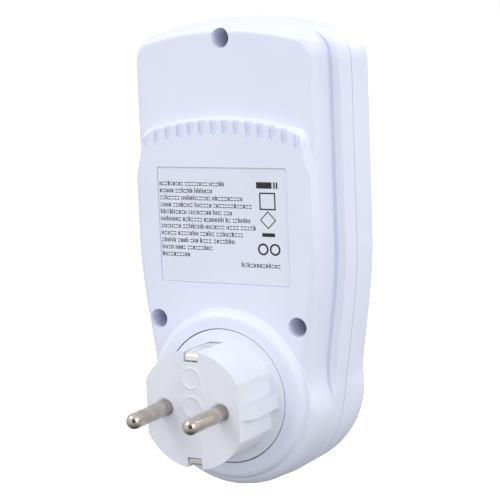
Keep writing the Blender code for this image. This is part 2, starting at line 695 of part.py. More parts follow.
def front_shell():
    outer = [seam_ring(SEAM_HIGH), ring(0.0, SEAM_DEPTH + FRONT_DRAFT)]
    outer += reversed(front_edge_rings())
    shell = loft("front_shell", outer, "white_abs")
    inner = [seam_ring(SEAM_DEPTH - WALL, WALL), seam_ring(SEAM_DEPTH + GAP, WALL)]
    inner += [ring(WALL, SEAM_DEPTH + FRONT_DRAFT), ring(WALL, FRONT_DEPTH - FRONT_ROUND)]
    inner += [ring(WALL + 1.6 * MM, FRONT_INNER - 2.6 * MM), ring(FRONT_ROUND - 1.0 * MM, FRONT_INNER)]
    combine(shell, loft("front_hollow", inner))
    for side, (x, z) in screw_places().items():
        near = COLUMN_DEPTH + GAP
        radius, far = COLUMN_RADIUS - 0.5 * MM, FRONT_INNER + WELD
        post = rod(f"screw_post_{side}", radius, (x, -near, z), (x, -far, z))
        if side == "top":
            limit = loft("post_limit", [ring(WALL / 2, BACK_DEPTH), ring(WALL / 2, FRONT_DEPTH)])
            combine(post, limit, "INTERSECT")
        combine(shell, post, "UNION")
        pilot_end = COLUMN_DEPTH + SCREW_LENGTH - COLUMN_FLOOR + 1.0 * MM
        pilot = rod(f"screw_pilot_{side}", SCREW_RADIUS + BORE_GAP, (x, 0, z), (x, -pilot_end, z), sides=16)
        combine(shell, pilot)
    for place_name, (x, z) in display_board_posts().items():
        near = DISPLAY_BOARD_FRONT + GAP
        far = FRONT_INNER + WELD
        post = rod(f"display_post_{place_name}", POST_RADIUS, (x, -near, z), (x, -far, z), sides=16)
        far = near + BOARD_SCREW_LENGTH
        way = BOARD_SCREW_RADIUS + BORE_GAP
        pilot = rod(f"display_pilot_{place_name}", way, (x, 0, z), (x, -far, z), sides=12)
        combine(combine(shell, post, "UNION"), pilot)
    near, far = (0, -SEAM_DEPTH, 0), (0, -2 * FRONT_DEPTH, 0)
    combine(shell, rod("socket_opening", SOCKET_OUTER + GAP, near, far, sides=AXIS_SIDES))
    size = (WINDOW_WIDTH + 2 * GAP, WINDOW_HEIGHT + 2 * GAP)
    rebate = plate(
        "window_rebate",
        [rounded_rectangle(*size, 2.0 * MM, 0.0, WINDOW_Z)],
        WINDOW_BACK - GAP,
        2 * FRONT_DEPTH,
    )
    opening = plate(
        "window_opening",
        [rounded_rectangle(size[0] - 2 * WINDOW_SEAT, size[1] - 2 * WINDOW_SEAT, 1.5 * MM, 0.0, WINDOW_Z)],
        SEAM_DEPTH,
        2 * FRONT_DEPTH,
    )
    combine(combine(shell, rebate), opening)
    for name in key_places():
        combine(shell, plate(f"key_way_{name}", [key_outline(name, KEY_GAP)], SEAM_DEPTH, 2 * FRONT_DEPTH))
    return shell


def front_edge_rings():
    rings = []
    for i in range(5):
        angle = math.radians(90.0 * i / 4)
        back = FRONT_ROUND * (1 - math.sin(angle))
        rings.append(ring(back, FRONT_DEPTH - FRONT_ROUND * (1 - math.cos(angle))))
    return rings


# Plug ------------------------------------------------------------------------------------------


def plug_section(radius, flats):
    """A circle with its left and right sides cut flat."""
    angle = math.degrees(math.acos(flats / 2 / radius))
    upper = circle(radius, 17, 0.0, 0.0, angle, 180.0 - angle)
    return upper + [(-x, -z) for x, z in upper]


def earth_strip_heights():
    inner = PLUG_RADIUS - EARTH_CHANNEL_DEPTH + GAP
    return inner, inner + EARTH_STRIP_THICKNESS


def plug_insert():
    body = plate(
        "plug_insert", [plug_section(PLUG_RADIUS, PLUG_FLATS)], 0.0, FLANGE_DEPTH + 1.0 * MM, "white_insert"
    )
    retainer_near = BACK_DEPTH + WALL + GAP
    flange = turned(
        "insert_flange",
        [
            (0.0, FLANGE_DEPTH),
            (INSERT_RADIUS, FLANGE_DEPTH),
            (INSERT_RADIUS, retainer_near),
            (RETAINER_RADIUS, retainer_near),
            (RETAINER_RADIUS, retainer_near + RETAINER_THICKNESS),
            (0.0, retainer_near + RETAINER_THICKNESS),
        ],
    )
    combine(body, flange, "UNION")
    half, top = RIB_WIDTH / 2, RIB_HEIGHT / 2
    for side, sign in (("left", -1), ("right", 1)):
        outline = [
            (sign * (PLUG_FLATS / 2 - 1.0 * MM), RIB_START),
            (sign * PLUG_FLATS / 2, RIB_START),
            (sign * half, RIB_START + RIB_RAMP),
            (sign * half, FLANGE_DEPTH + 0.5 * MM),
            (sign * (PLUG_FLATS / 2 - 1.0 * MM), FLANGE_DEPTH + 0.5 * MM),
        ]
        rings = [[(x, -depth, z) for x, depth in outline] for z in (-top, top)]
        combine(body, loft(f"guide_rib_{side}", rings), "UNION")
    retainer_far = retainer_near + RETAINER_THICKNESS
    reach = math.sqrt((PLUG_RADIUS - PLUG_WALL) ** 2 - (CHAMBER_HEIGHT / 2) ** 2)
    for side, sign in (("left", -1), ("right", 1)):
        near, far = sorted((sign * BARRIER_THICKNESS / 2, sign * (reach + 0.6 * MM)))
        chamber = block(
            f"chamber_{side}",
            (near, -retainer_far - 1.0 * MM, -CHAMBER_HEIGHT / 2),
            (far, -PLUG_FACE_WALL, CHAMBER_HEIGHT / 2),
        )
        combine(body, chamber)
        x = sign * PIN_SPACING / 2
        far = PLUG_FACE_WALL + GAP
        combine(body, rod(f"pin_bore_{side}", PIN_RADIUS + BORE_GAP, (x, PIN_LENGTH, 0), (x, -far, 0)))
    inner, outer = earth_strip_heights()
    for name, sign in (("top", 1), ("bottom", -1)):
        low, high = sorted((sign * (PLUG_RADIUS - EARTH_CHANNEL_DEPTH), sign * (PLUG_RADIUS + 1.0 * MM)))
        channel = block(
            f"earth_channel_{name}",
            (-EARTH_CHANNEL_WIDTH / 2, -EARTH_CHANNEL_LENGTH, low),
            (EARTH_CHANNEL_WIDTH / 2, 1.0 * MM, high),
        )
        low, high = sorted((sign * (inner - GAP), sign * (outer + GAP)))
        slot = block(
            f"earth_slot_{name}",
            (-EARTH_STRIP_WIDTH / 2 - GAP, -retainer_far - 1.0 * MM, low),
            (EARTH_STRIP_WIDTH / 2 + GAP, 0.0, high),
        )
        combine(combine(body, channel), slot)
    return body


def pin_stub_end():
    return PLUG_FACE_WALL + 5.9 * MM


def pins():
    collar = PLUG_FACE_WALL + GAP
    for name, sign in (("live_pin", 1), ("neutral_pin", -1)):
        tip = [(x, -z) for x, z in circle(PIN_RADIUS, 5, 0.0, PIN_LENGTH - PIN_RADIUS, 90.0, 0.0)]
        tip[0] = (0.0, -PIN_LENGTH)
        profile = tip + [
            (PIN_RADIUS, collar),
            (PIN_RADIUS + 0.8 * MM, collar),
            (PIN_RADIUS + 0.8 * MM, collar + 1.0 * MM),
            (PIN_RADIUS - 0.9 * MM, collar + 1.0 * MM),
            (PIN_RADIUS - 0.9 * MM, pin_stub_end()),
            (0.0, pin_stub_end()),
        ]
        turned(name, profile, "nickel", x=sign * PIN_SPACING / 2, steps=24)


def plug_earth_contacts():
    """A sprung strip in each channel, its front end turned in, its tail through the insert's flange."""
    inner, outer = earth_strip_heights()
    tail = BACK_DEPTH + WALL + RETAINER_THICKNESS + 2.1 * MM
    for name, sign in (("top", 1), ("bottom", -1)):
        outline = [
            (0.5 * MM, inner),
            (1.7 * MM, outer - 0.2 * MM),
            (5.0 * MM, outer + 0.35 * MM),
            (11.0 * MM, outer + 0.35 * MM),
            (EARTH_CHANNEL_LENGTH - 1.2 * MM, outer),
            (tail, outer),
            (tail, inner),
            (EARTH_CHANNEL_LENGTH - 1.5 * MM, inner),
            (11.0 * MM, inner + 0.35 * MM),
            (5.0 * MM, inner + 0.35 * MM),
            (2.4 * MM, inner),
        ]
        points = [(depth, sign * height) for depth, height in outline]
        strip(f"plug_earth_contact_{name}", points, 0.0, EARTH_STRIP_WIDTH, "nickel")


# Socket ----------------------------------------------------------------------------------------


def earth_clip_slot(name, sign):
    low, high = sorted((sign * (SOCKET_RADIUS - 3.5 * MM), sign * (SOCKET_OUTER + 5.0 * MM)))
    return block(
        name,
        (-EARTH_STRIP_WIDTH / 2 - 0.7 * MM, -(FRONT_INNER - 1.2 * MM), low),
        (EARTH_STRIP_WIDTH / 2 + 0.7 * MM, -SOCKET_BACK + 1.0 * MM, high),
    )


def socket_insert():
    lip_near = FRONT_INNER - GAP - SOCKET_LIP
    cup = turned(
        "socket_insert",
        [
            (0.0, SOCKET_BACK),
            (SOCKET_OUTER, SOCKET_BACK),
            (SOCKET_OUTER, lip_near),
            (SOCKET_OUTER + SOCKET_LIP, lip_near),
            (SOCKET_OUTER + SOCKET_LIP, FRONT_INNER - GAP),
            (SOCKET_OUTER, FRONT_INNER - GAP),
            (SOCKET_OUTER, SOCKET_MOUTH - 0.5 * MM),
            (SOCKET_OUTER - 0.5 * MM, SOCKET_MOUTH),
            (0.0, SOCKET_MOUTH),
        ],
        "white_insert",
    )
    groove_x, groove_z = SOCKET_GROOVE_WIDTH / 2, SOCKET_GROOVE_HEIGHT / 2
    notch = [(groove_x, -groove_z), (groove_x, groove_z)]
    notch = [(SOCKET_FLATS / 2, -groove_z), *notch, (SOCKET_FLATS / 2, groove_z)]
    section = plug_section(SOCKET_RADIUS, SOCKET_FLATS)
    half = len(section) // 2
    section = notch + section[:half] + [(-x, -z) for x, z in notch] + section[half:]
    combine(cup, plate("socket_recess", [section], SOCKET_FLOOR_DEPTH, 2 * FRONT_DEPTH))
    for side, sign in (("left", -1), ("right", 1)):
        x = sign * PIN_SPACING / 2
        combine(cup, rod(f"socket_hole_{side}", SOCKET_HOLE_RADIUS, (x, 0, 0), (x, -FRONT_DEPTH, 0)))
    for name, sign in (("top", 1), ("bottom", -1)):
        combine(cup, earth_clip_slot(f"clip_slot_{name}", sign))
    post = rod(
        "shutter_post",
        SHUTTER_POST_RADIUS,
        (0, -SOCKET_BACK - 0.5 * MM, 0),
        (0, -COVER_DEPTH - GAP, 0),
    )
    return combine(cup, post, "UNION")


def socket_earth_clips():
    """Sprung strips that bulge into the recess and hinge at their feet when a plug spreads them."""
    foot = SOCKET_OUTER - 1.0 * MM
    bulge = SOCKET_RADIUS - 3.0 * MM
    near = COVER_DEPTH - COVER_THICKNESS - 0.7 * MM
    hinge_depth = near + 3.0 * MM
    line = [
        (near, foot),
        (SOCKET_BACK + 1.5 * MM, foot),
        (SOCKET_BACK + 5.0 * MM, bulge + 0.7 * MM),
        (SOCKET_BACK + 7.5 * MM, bulge),
        (SOCKET_BACK + 10.0 * MM, bulge + 0.5 * MM),
        (FRONT_INNER - 2.2 * MM, foot - 0.9 * MM),
    ]
    outline = line + [(depth, height + 0.7 * MM) for depth, height in reversed(line)]
    for name, sign in (("top", 1), ("bottom", -1)):
        points = [(depth, sign * height) for depth, height in outline]
        clip = strip(f"socket_earth_clip_{name}", points, 0.0, EARTH_STRIP_WIDTH, "nickel")
        set_origin(clip, (0.0, -hinge_depth, sign * (foot + 0.35 * MM)))


def shutter():
    """A two-armed plate that covers the pin holes and turns on the post."""
    edge = math.degrees(math.asin(SHUTTER_ARM / 2 / SHUTTER_RADIUS))
    hub = SHUTTER_POST_RADIUS + 2.0 * MM
    root = math.degrees(math.asin(min(SHUTTER_ARM / 2 / hub, 0.95)))
    outline = circle(SHUTTER_RADIUS, 7, 0, 0, -edge, edge)
    outline += circle(hub, 5, 0, 0, root, 180.0 - root)
    outline += circle(SHUTTER_RADIUS, 7, 0, 0, 180.0 - edge, 180.0 + edge)
    outline += circle(hub, 5, 0, 0, 180.0 + root, 360.0 - root)
    hole = circle(SHUTTER_POST_RADIUS + BORE_GAP, 24)
    far = SHUTTER_DEPTH + SHUTTER_THICKNESS
    piece = plate("shutter", [outline, hole], SHUTTER_DEPTH, far, "grey_plastic")
    set_origin(piece, (0.0, -SHUTTER_DEPTH, 0.0))


def shutter_spring():
    radius = SHUTTER_POST_RADIUS + 0.5 * MM + SPRING_WIRE
    near = COVER_DEPTH + GAP + SPRING_WIRE
    far = SHUTTER_DEPTH - GAP - SPRING_WIRE
    curve = bpy.data.curves.new("shutter_spring", "CURVE")
    curve.dimensions = "3D"
    curve.bevel_depth = SPRING_WIRE
    curve.bevel_resolution = 1
    curve.use_fill_caps = True
    count = SPRING_TURNS * 12 + 1
    spline = curve.splines.new("POLY")
    spline.points.add(count - 1)
    for i, slot in enumerate(spline.points):
        angle = 2 * math.pi * i / 12
        depth = near + (far - near) * i / (count - 1)
        slot.co = (radius * math.cos(angle), -depth, radius * math.sin(angle), 1.0)
    as_mesh(bpy.data.objects.new("shutter_spring", curve), "shutter_spring", "zinc_steel")


def shutter_cover():
    half = SHUTTER_RADIUS + 2.0 * MM
    height = 8.0 * MM
    outline = rounded_rectangle(2 * (half + 1.5 * MM), 2 * height, 2.0 * MM)
    holes = [circle(SOCKET_HOLE_RADIUS + 0.3 * MM, 24, sign * PIN_SPACING / 2, 0.0) for sign in (-1, 1)]
    near = COVER_DEPTH - COVER_THICKNESS
    cover = plate("shutter_cover", [outline, *holes], near, COVER_DEPTH, "white_insert")
    for side, sign in (("left", -1), ("right", 1)):
        near, far = sorted((sign * half, sign * (half + 1.5 * MM)))
        leg = block(
            f"cover_leg_{side}",
            (near, -(SOCKET_BACK - GAP), -height / 2),
            (far, -COVER_DEPTH + 0.5 * MM, height / 2),
        )
        combine(cover, leg, "UNION")


def contact_outline(web):
    """A U-shaped jaw: two leaves that pinch the pin near their tips."""
    half = CONTACT_OPENING / 2
    pinch = PIN_RADIUS - 0.1 * MM
    tip = COVER_DEPTH - COVER_THICKNESS - 0.6 * MM
    grip = tip - 4.0 * MM
    inner = [(web + CONTACT_THICKNESS, half), (grip - 3.0 * MM, half), (grip, pinch), (tip, half + 0.4 * MM)]
    outer = [(depth, height + CONTACT_THICKNESS) for depth, height in reversed(inner)]
    outer[-1] = (web, half + CONTACT_THICKNESS)
    upper = inner + outer
    return upper + [(depth, -height) for depth, height in reversed(upper)]


def contacts():
    live_web = pin_stub_end() + GAP
    shunt_far = live_web + 3 * CONTACT_THICKNESS + 0.4 * MM
    x = PIN_SPACING / 2
    strip("live_contact", contact_outline(live_web), x, CONTACT_WIDTH, "spring_brass")
    strip("neutral_contact", contact_outline(shunt_far + GAP), -x, CONTACT_WIDTH, "spring_brass")
    reach = CHAMBER_HEIGHT / 2 - 1.5 * MM
    outline = [
        (live_web, -2.0 * MM),
        (live_web, reach),
        (shunt_far, reach),
        (shunt_far, -2.0 * MM),
        (shunt_far - CONTACT_THICKNESS, -2.0 * MM),
        (shunt_far - CONTACT_THICKNESS, reach - CONTACT_THICKNESS),
        (live_web + CONTACT_THICKNESS, reach - CONTACT_THICKNESS),
        (live_web + CONTACT_THICKNESS, -2.0 * MM),
    ]
    strip("current_shunt", outline, -x, CONTACT_WIDTH, "copper_alloy")
    return live_web, shunt_far


def earth_yoke():
    """A flat half ring that joins the upper and lower earth contacts."""
    inner, outer = earth_strip_heights()
    near = BACK_DEPTH + WALL + RETAINER_THICKNESS + 2.4 * MM
    outline = circle(SOCKET_OUTER - 0.2 * MM, 15, 0, 0, 84.0, 276.0)
    outline += reversed(circle(inner - 0.4 * MM, 15, 0, 0, 84.0, 276.0))
    plate("earth_yoke", [outline], near, near + EARTH_STRIP_THICKNESS, "spring_brass")


def wire(name, x, start_depth, finish):
    """A wire from a contact's jaw, out of the plug's chamber and up to the main board's back."""
    height = CONTACT_OPENING / 2 + CONTACT_THICKNESS + 2.2 * MM
    turn = BACK_DEPTH + WALL + RETAINER_THICKNESS + 1.2 * MM
    route = [
        (start_depth + 2.0 * MM, height),
        (start_depth + 6.0 * MM, height),
        (turn - 2.0 * MM, height),
        (turn, height + 2.0 * MM),
        (turn + 0.05 * MM, height + 6.0 * MM),
        (turn + 0.3 * MM, BOARD_BOTTOM - 5.0 * MM),
        (MAIN_BOARD_DEPTH - 2.6 * MM, BOARD_BOTTOM + 1.0 * MM),
        (MAIN_BOARD_DEPTH - 0.5 * MM, BOARD_BOTTOM + 2.0 * MM),
    ]
    curve = bpy.data.curves.new(name, "CURVE")
    curve.dimensions = "3D"
    curve.bevel_depth = 0.75 * MM
    curve.bevel_resolution = 2
    curve.use_fill_caps = True
    spline = curve.splines.new("POLY")
    spline.points.add(len(route) - 1)
    for slot, (depth, z) in zip(spline.points, route):
        slot.co = (x, -depth, z, 1.0)
    as_mesh(bpy.data.objects.new(name, curve), name, finish)


# Screws, boards and what they carry ------------------------------------------------------------


def pan_screw(name, x, z, head_depth, sign, radius, head_radius, head_height, length):
    """A screw along Y. sign 1 points its shaft towards -Y, -1 towards +Y."""
    profile = [
        (0.0, -head_height),
        (head_radius * 0.75, -head_height),
        (head_radius, -head_height * 0.55),
        (head_radius, 0.0),
        (radius, 0.0),
        (radius, length - radius),
        (radius * 0.3, length),
        (0.0, length),
    ]
    points = [(r, head_depth + sign * depth) for r, depth in profile]
    if sign < 0:
        points.reverse()
    turned(name, points, "zinc_steel", x=x, z=z, steps=12)


def screws():
    for side, (x, z) in screw_places().items():
        pan_screw(
            f"housing_screw_{side}",
            x,
            z,
            SEAM_DEPTH - GAP,
            1,
            SCREW_RADIUS,
            SCREW_HEAD_RADIUS,
            SCREW_HEAD_HEIGHT,
            SCREW_LENGTH,
        )
    for side, (x, z) in main_board_posts().items():
        pan_screw(
            f"main_board_screw_{side}",
            x,
            z,
            MAIN_BOARD_FRONT + GAP,
            -1,
            BOARD_SCREW_RADIUS,
            BOARD_SCREW_HEAD_RADIUS,
            BOARD_SCREW_HEAD_HEIGHT,
            BOARD_SCREW_LENGTH + 1.0 * MM,
        )
    for place_name, (x, z) in display_board_posts().items():
        pan_screw(
            f"display_board_screw_{place_name}",
            x,
            z,
            DISPLAY_BOARD_DEPTH - GAP,
            1,
            BOARD_SCREW_RADIUS,
            BOARD_SCREW_HEAD_RADIUS,
            BOARD_SCREW_HEAD_HEIGHT,
            BOARD_SCREW_LENGTH + 0.5 * MM,
        )


def board(name, half_width, depth, posts):
    outline = rounded_rectangle(
        2 * half_width, BOARD_TOP - BOARD_BOTTOM, 2.0 * MM, 0.0, (BOARD_TOP + BOARD_BOTTOM) / 2, 3
    )
    holes = [circle(BOARD_SCREW_RADIUS + BORE_GAP, 12, x, z) for x, z in posts.values()]
    plate(name, [outline, *holes], depth, depth + BOARD_THICKNESS, "board_laminate")


def boards():
    board("main_board", BOARD_REACH - MAIN_BOARD_MARGIN, MAIN_BOARD_DEPTH, main_board_posts())
    board("display_board", BOARD_REACH - DISPLAY_BOARD_MARGIN, DISPLAY_BOARD_DEPTH, display_board_posts())


def board_block(name, left, bottom, width, height, thickness, finish):
    """A block on the main board's front; left and bottom are its corner."""
    face = MAIN_BOARD_FRONT + GAP
    block(name, (left, -face - thickness, bottom), (left + width, -face, bottom + height), finish)


def board_rod(name, radius, start, end, finish, sides=20):
    """A round piece lying on the main board's front, between two points of X and Z."""
    depth = MAIN_BOARD_FRONT + GAP + radius
    rod(name, radius, (start[0], -depth, start[1]), (end[0], -depth, end[1]), finish, sides=sides)


def main_board_parts():
    low, high = BOARD_BOTTOM, BOARD_TOP
    left, bottom = CAPACITOR_PLACE
    board_block("x2_capacitor", left, low + bottom, *CAPACITOR_SIZE, "capacitor_yellow")
    x, z = VARISTOR_PLACE
    start = (x, low + z)
    board_rod("varistor", VARISTOR_RADIUS, start, (x + VARISTOR_THICKNESS, low + z), "varistor_blue")
    x, z = RESISTOR_PLACE
    start = (x, low + z)
    board_rod("fusible_resistor", RESISTOR_RADIUS, start, (x + RESISTOR_LENGTH, low + z), "grey_plastic", 16)
    left, bottom = METER_CHIP_PLACE
    board_block("metering_chip", left, low + bottom, *METER_CHIP_SIZE, "black_plastic")
    x, z = FILTER_PLACE
    start = (x, low + z)
    board_rod("filter_capacitor", FILTER_RADIUS, start, (x, low + z + FILTER_LENGTH), "black_plastic")
    x, z = BATTERY_PLACE
    start = (x, high - z)
    board_rod("backup_battery", BATTERY_RADIUS, start, (x, high - z + BATTERY_LENGTH), "battery_wrap", 24)
    left, drop = HEADER_PLACE
    width, height = HEADER_SIZE
    reach = DISPLAY_BOARD_DEPTH - GAP - MAIN_BOARD_FRONT - GAP
    board_block("board_header", left, high - drop, width, height, reach, "black_plastic")
    left, drop = CONTROLLER_PLACE
    width, height, thickness = CONTROLLER_SIZE
    back = DISPLAY_BOARD_DEPTH - GAP
    low_corner = (left, -back, high - drop)
    high_corner = (left + width, thickness - back, high - drop + height)
    block("controller_chip", low_corner, high_corner, "black_plastic")


def display():
    plate(
        "display_window",
        [rounded_rectangle(WINDOW_WIDTH, WINDOW_HEIGHT, 2.0 * MM - GAP, 0.0, WINDOW_Z)],
        WINDOW_BACK,
        FRONT_DEPTH,
        "clear_window",
    )
    width, height = WINDOW_WIDTH - 2 * WINDOW_SEAT, WINDOW_HEIGHT - 2 * WINDOW_SEAT
    block(
        "lcd_glass",
        (-width / 2, -LCD_FRONT, WINDOW_Z - height / 2),
        (width / 2, -LCD_BACK, WINDOW_Z + height / 2),
        "display_glass",
    )
    inner = rounded_rectangle(width + 2 * GAP, height + 2 * GAP, 0.4 * MM, 0.0, WINDOW_Z, 2)
    outer = rounded_rectangle(
        width + 2 * GAP + 2 * HOLDER_WALL, height + 2 * GAP + 2 * HOLDER_WALL, 1.5 * MM, 0.0, WINDOW_Z, 3
    )
    plate("lcd_holder", [outer, inner], DISPLAY_BOARD_FRONT + GAP, LCD_FRONT, "white_insert")
    for name, sign in (("upper", 1), ("lower", -1)):
        z = WINDOW_Z + sign * (height / 2 - 1.5 * MM)
        block(
            f"zebra_strip_{name}",
            (-width / 2 + 1.0 * MM, -LCD_BACK + GAP, z - 1.0 * MM),
            (width / 2 - 1.0 * MM, -DISPLAY_BOARD_FRONT - GAP, z + 1.0 * MM),
            "grey_plastic",
        )


def keys():
    """Each key with the plunger it pushes, and its switch on the display board."""
    for name, (x, z) in key_places().items():
        proud = KEY_PROUD if name != "reset" else 0.0
        near, far = KEY_BACK + KEY_FLANGE / 2, FRONT_DEPTH + proud
        key = plate(f"key_{name}", [key_outline(name, 0.0)], near, far, "key_plastic")
        flange = plate(f"key_flange_{name}", [key_outline(name, KEY_LIP)], KEY_BACK, KEY_BACK + KEY_FLANGE)
        combine(key, flange, "UNION")
        front = KEY_BACK - GAP
        seat = DISPLAY_BOARD_FRONT + GAP + SWITCH_FLOOR
        rest = seat + KEY_TRAVEL + GAP
        near, far = (x, -rest, z), (x, -front, z)
        plunger = rod(f"switch_plunger_{name}", PLUNGER_RADIUS, near, far, "black_plastic", 16)
        for piece in (key, plunger):
            set_origin(piece, (x, -front, z))
        half = SWITCH_SIZE / 2
        switch = block(
            f"tact_switch_{name}",
            (x - half, -SWITCH_FRONT, z - half),
            (x + half, -DISPLAY_BOARD_FRONT - GAP, z + half),
            "grey_plastic",
        )
        way = PLUNGER_RADIUS + BORE_GAP
        combine(switch, rod(f"plunger_bore_{name}", way, (x, -seat, z), (x, -FRONT_DEPTH, z), sides=16))


def rating_label():
    """A thin label in the rear panel's recess."""
    width, height = LABEL_WIDTH - 2 * GAP, LABEL_TOP - LABEL_BOTTOM - 2 * GAP
    floor = BACK_DEPTH + LABEL_RECESS
    z = (LABEL_TOP + LABEL_BOTTOM) / 2
    near = floor - 0.05 * MM - LABEL_THICKNESS
    outline = rounded_rectangle(width, height, 0.8 * MM, 0.0, z, 3)
    plate("rating_label", [outline], near, near + LABEL_THICKNESS, "printed_label")


def main():
    rear_shell()
    front_shell()
    plug_insert()
    pins()
    plug_earth_contacts()
    socket_insert()
    socket_earth_clips()
    shutter()
    shutter_spring()
    shutter_cover()
    live_web, shunt_far = contacts()
    earth_yoke()
    wire("live_wire", PIN_SPACING / 2, live_web, "wire_red")
    wire("neutral_wire", -PIN_SPACING / 2, shunt_far, "wire_blue")
    boards()
    main_board_parts()
    display()
    keys()
    screws()
    rating_label()


main()
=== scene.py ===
import math
import random
import bmesh
import bpy
from mathutils import Matrix, Vector


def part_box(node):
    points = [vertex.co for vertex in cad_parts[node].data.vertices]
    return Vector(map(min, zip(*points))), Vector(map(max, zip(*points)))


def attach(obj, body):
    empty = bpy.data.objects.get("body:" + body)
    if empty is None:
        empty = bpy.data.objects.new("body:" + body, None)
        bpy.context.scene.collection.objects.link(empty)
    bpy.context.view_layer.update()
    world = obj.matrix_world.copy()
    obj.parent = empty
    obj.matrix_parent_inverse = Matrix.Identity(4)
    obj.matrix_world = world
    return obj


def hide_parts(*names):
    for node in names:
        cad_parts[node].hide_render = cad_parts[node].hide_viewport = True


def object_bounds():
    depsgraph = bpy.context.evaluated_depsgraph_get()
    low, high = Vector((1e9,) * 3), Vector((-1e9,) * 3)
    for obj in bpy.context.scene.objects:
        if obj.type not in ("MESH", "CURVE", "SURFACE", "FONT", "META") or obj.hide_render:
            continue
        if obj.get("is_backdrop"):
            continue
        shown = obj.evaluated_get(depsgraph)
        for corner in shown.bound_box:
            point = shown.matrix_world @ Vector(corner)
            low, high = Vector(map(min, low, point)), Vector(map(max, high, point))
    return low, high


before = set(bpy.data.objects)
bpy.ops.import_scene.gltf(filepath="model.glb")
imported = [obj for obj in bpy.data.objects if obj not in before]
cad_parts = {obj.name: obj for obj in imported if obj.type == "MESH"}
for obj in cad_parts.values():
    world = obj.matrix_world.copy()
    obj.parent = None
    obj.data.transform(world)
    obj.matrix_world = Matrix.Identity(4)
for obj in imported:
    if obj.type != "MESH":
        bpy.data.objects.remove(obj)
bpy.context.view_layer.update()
mm = 0.001
solved = "MANIFOLD"  # every cutter here is one closed solid
beyond = 80.0  # a depth clear of the meter's front


# Small tools, used by every piece below. All sizes are in millimetres. Depth runs from the plug's face
# towards the front of the meter, along -Y.

def pickOnly(piece):
    bpy.ops.object.select_all(action="DESELECT")
    piece.select_set(True)
    bpy.context.view_layer.objects.active = piece


def named(name):
    piece = bpy.context.object
    piece.name = piece.data.name = name
    return piece


def arc(radius, steps, x=0.0, z=0.0, start=0.0, end=360.0):
    # points on an arc, the end left out where it closes
    whole = abs(end - start) >= 360.0
    turns = [start + (end - start) * i / (steps if whole else steps - 1) for i in range(steps)]
    return [(x + radius * math.cos(math.radians(a)), z + radius * math.sin(math.radians(a))) for a in turns]


def roundedBox(width, height, radius, x=0.0, z=0.0, steps=6):
    points = []
    for quarter, (sx, sz) in enumerate(((1, 1), (-1, 1), (-1, -1), (1, -1))):
        centre = (x + sx * (width / 2 - radius), z + sz * (height / 2 - radius))
        points += arc(radius, steps, *centre, 90.0 * quarter, 90.0 * quarter + 90.0)
    return points


def atDepth(outline, depth):
    return [(x * mm, -depth * mm, z * mm) for x, z in outline]


def skin(name, rings):
    # a filled circle is extruded once for each ring, and its points are moved to that ring
    bpy.ops.mesh.primitive_circle_add(vertices=len(rings[0]), radius=1.0, fill_type="NGON")
    piece = named(name)
    bpy.ops.object.mode_set(mode="EDIT")
    bpy.ops.mesh.select_all(action="SELECT")
    for step, ring in enumerate(rings):
        if step:
            bpy.ops.mesh.extrude_region_move()
        mesh = bmesh.from_edit_mesh(piece.data)
        cap = next(face for face in mesh.faces if face.select)
        for corner, point in zip(cap.loops, ring):
            corner.vert.co = point
        bmesh.update_edit_mesh(piece.data)
    bpy.ops.mesh.select_all(action="SELECT")
    bpy.ops.mesh.normals_make_consistent(inside=False)
    bpy.ops.object.mode_set(mode="OBJECT")
    return piece


def prism(name, outline, near, far):
    return skin(name, [atDepth(outline, near), atDepth(outline, far)])


def turned(name, profile, x=0.0, z=0.0, steps=64):
    # a profile of (radius, depth) about the line along Y at x, z
    return skin(name, [atDepth(arc(max(radius, 0.02), steps, x, z), depth) for radius, depth in profile])


def rod(name, radius, x, z, near, far, steps=48):
    return turned(name, [(radius, near), (radius, far)], x, z, steps)


def block(name, low, high):
    centre = [(a + b) / 2 * mm for a, b in zip(low, high)]
    size = [(b - a) * mm for a, b in zip(low, high)]
    bpy.ops.mesh.primitive_cube_add(size=1.0, location=centre, scale=size)
    piece = named(name)
    bpy.ops.object.transform_apply(location=True, rotation=True, scale=True)
    return piece


def strip(name, outline, x, width):
    # a strip of metal: its outline is (depth, height), and it is width wide along X
    rings = [[(side * mm, -d * mm, h * mm) for d, h in outline] for side in (x - width / 2, x + width / 2)]
    return skin(name, rings)


def combine(piece, tool, kind="DIFFERENCE"):
    pickOnly(piece)
    step = piece.modifiers.new("join", "BOOLEAN")
    step.object, step.operation, step.solver = tool, kind, solved
    bpy.ops.object.modifier_apply(modifier=step.name)
    bpy.data.objects.remove(tool, do_unlink=True)
    return piece


def applied(piece, kind, **settings):
    pickOnly(piece)
    step = piece.modifiers.new(kind.lower(), kind)
    for setting, value in settings.items():
        setattr(step, setting, value)
    bpy.ops.object.modifier_apply(modifier=step.name)


def copied(piece, name, dx=0.0, dz=0.0, halfTurn=False):
    # a copy with its own mesh, moved or turned half a turn about the plug's axis, its place in its mesh
    pickOnly(piece)
    bpy.ops.object.duplicate(linked=False)
    twin = named(name)
    if halfTurn:
        bpy.ops.transform.rotate(value=math.pi, orient_axis="Y", center_override=(0.0, 0.0, 0.0))
    bpy.ops.transform.translate(value=(dx * mm, 0.0, dz * mm))
    bpy.ops.object.transform_apply(location=True, rotation=True, scale=True)
    return twin


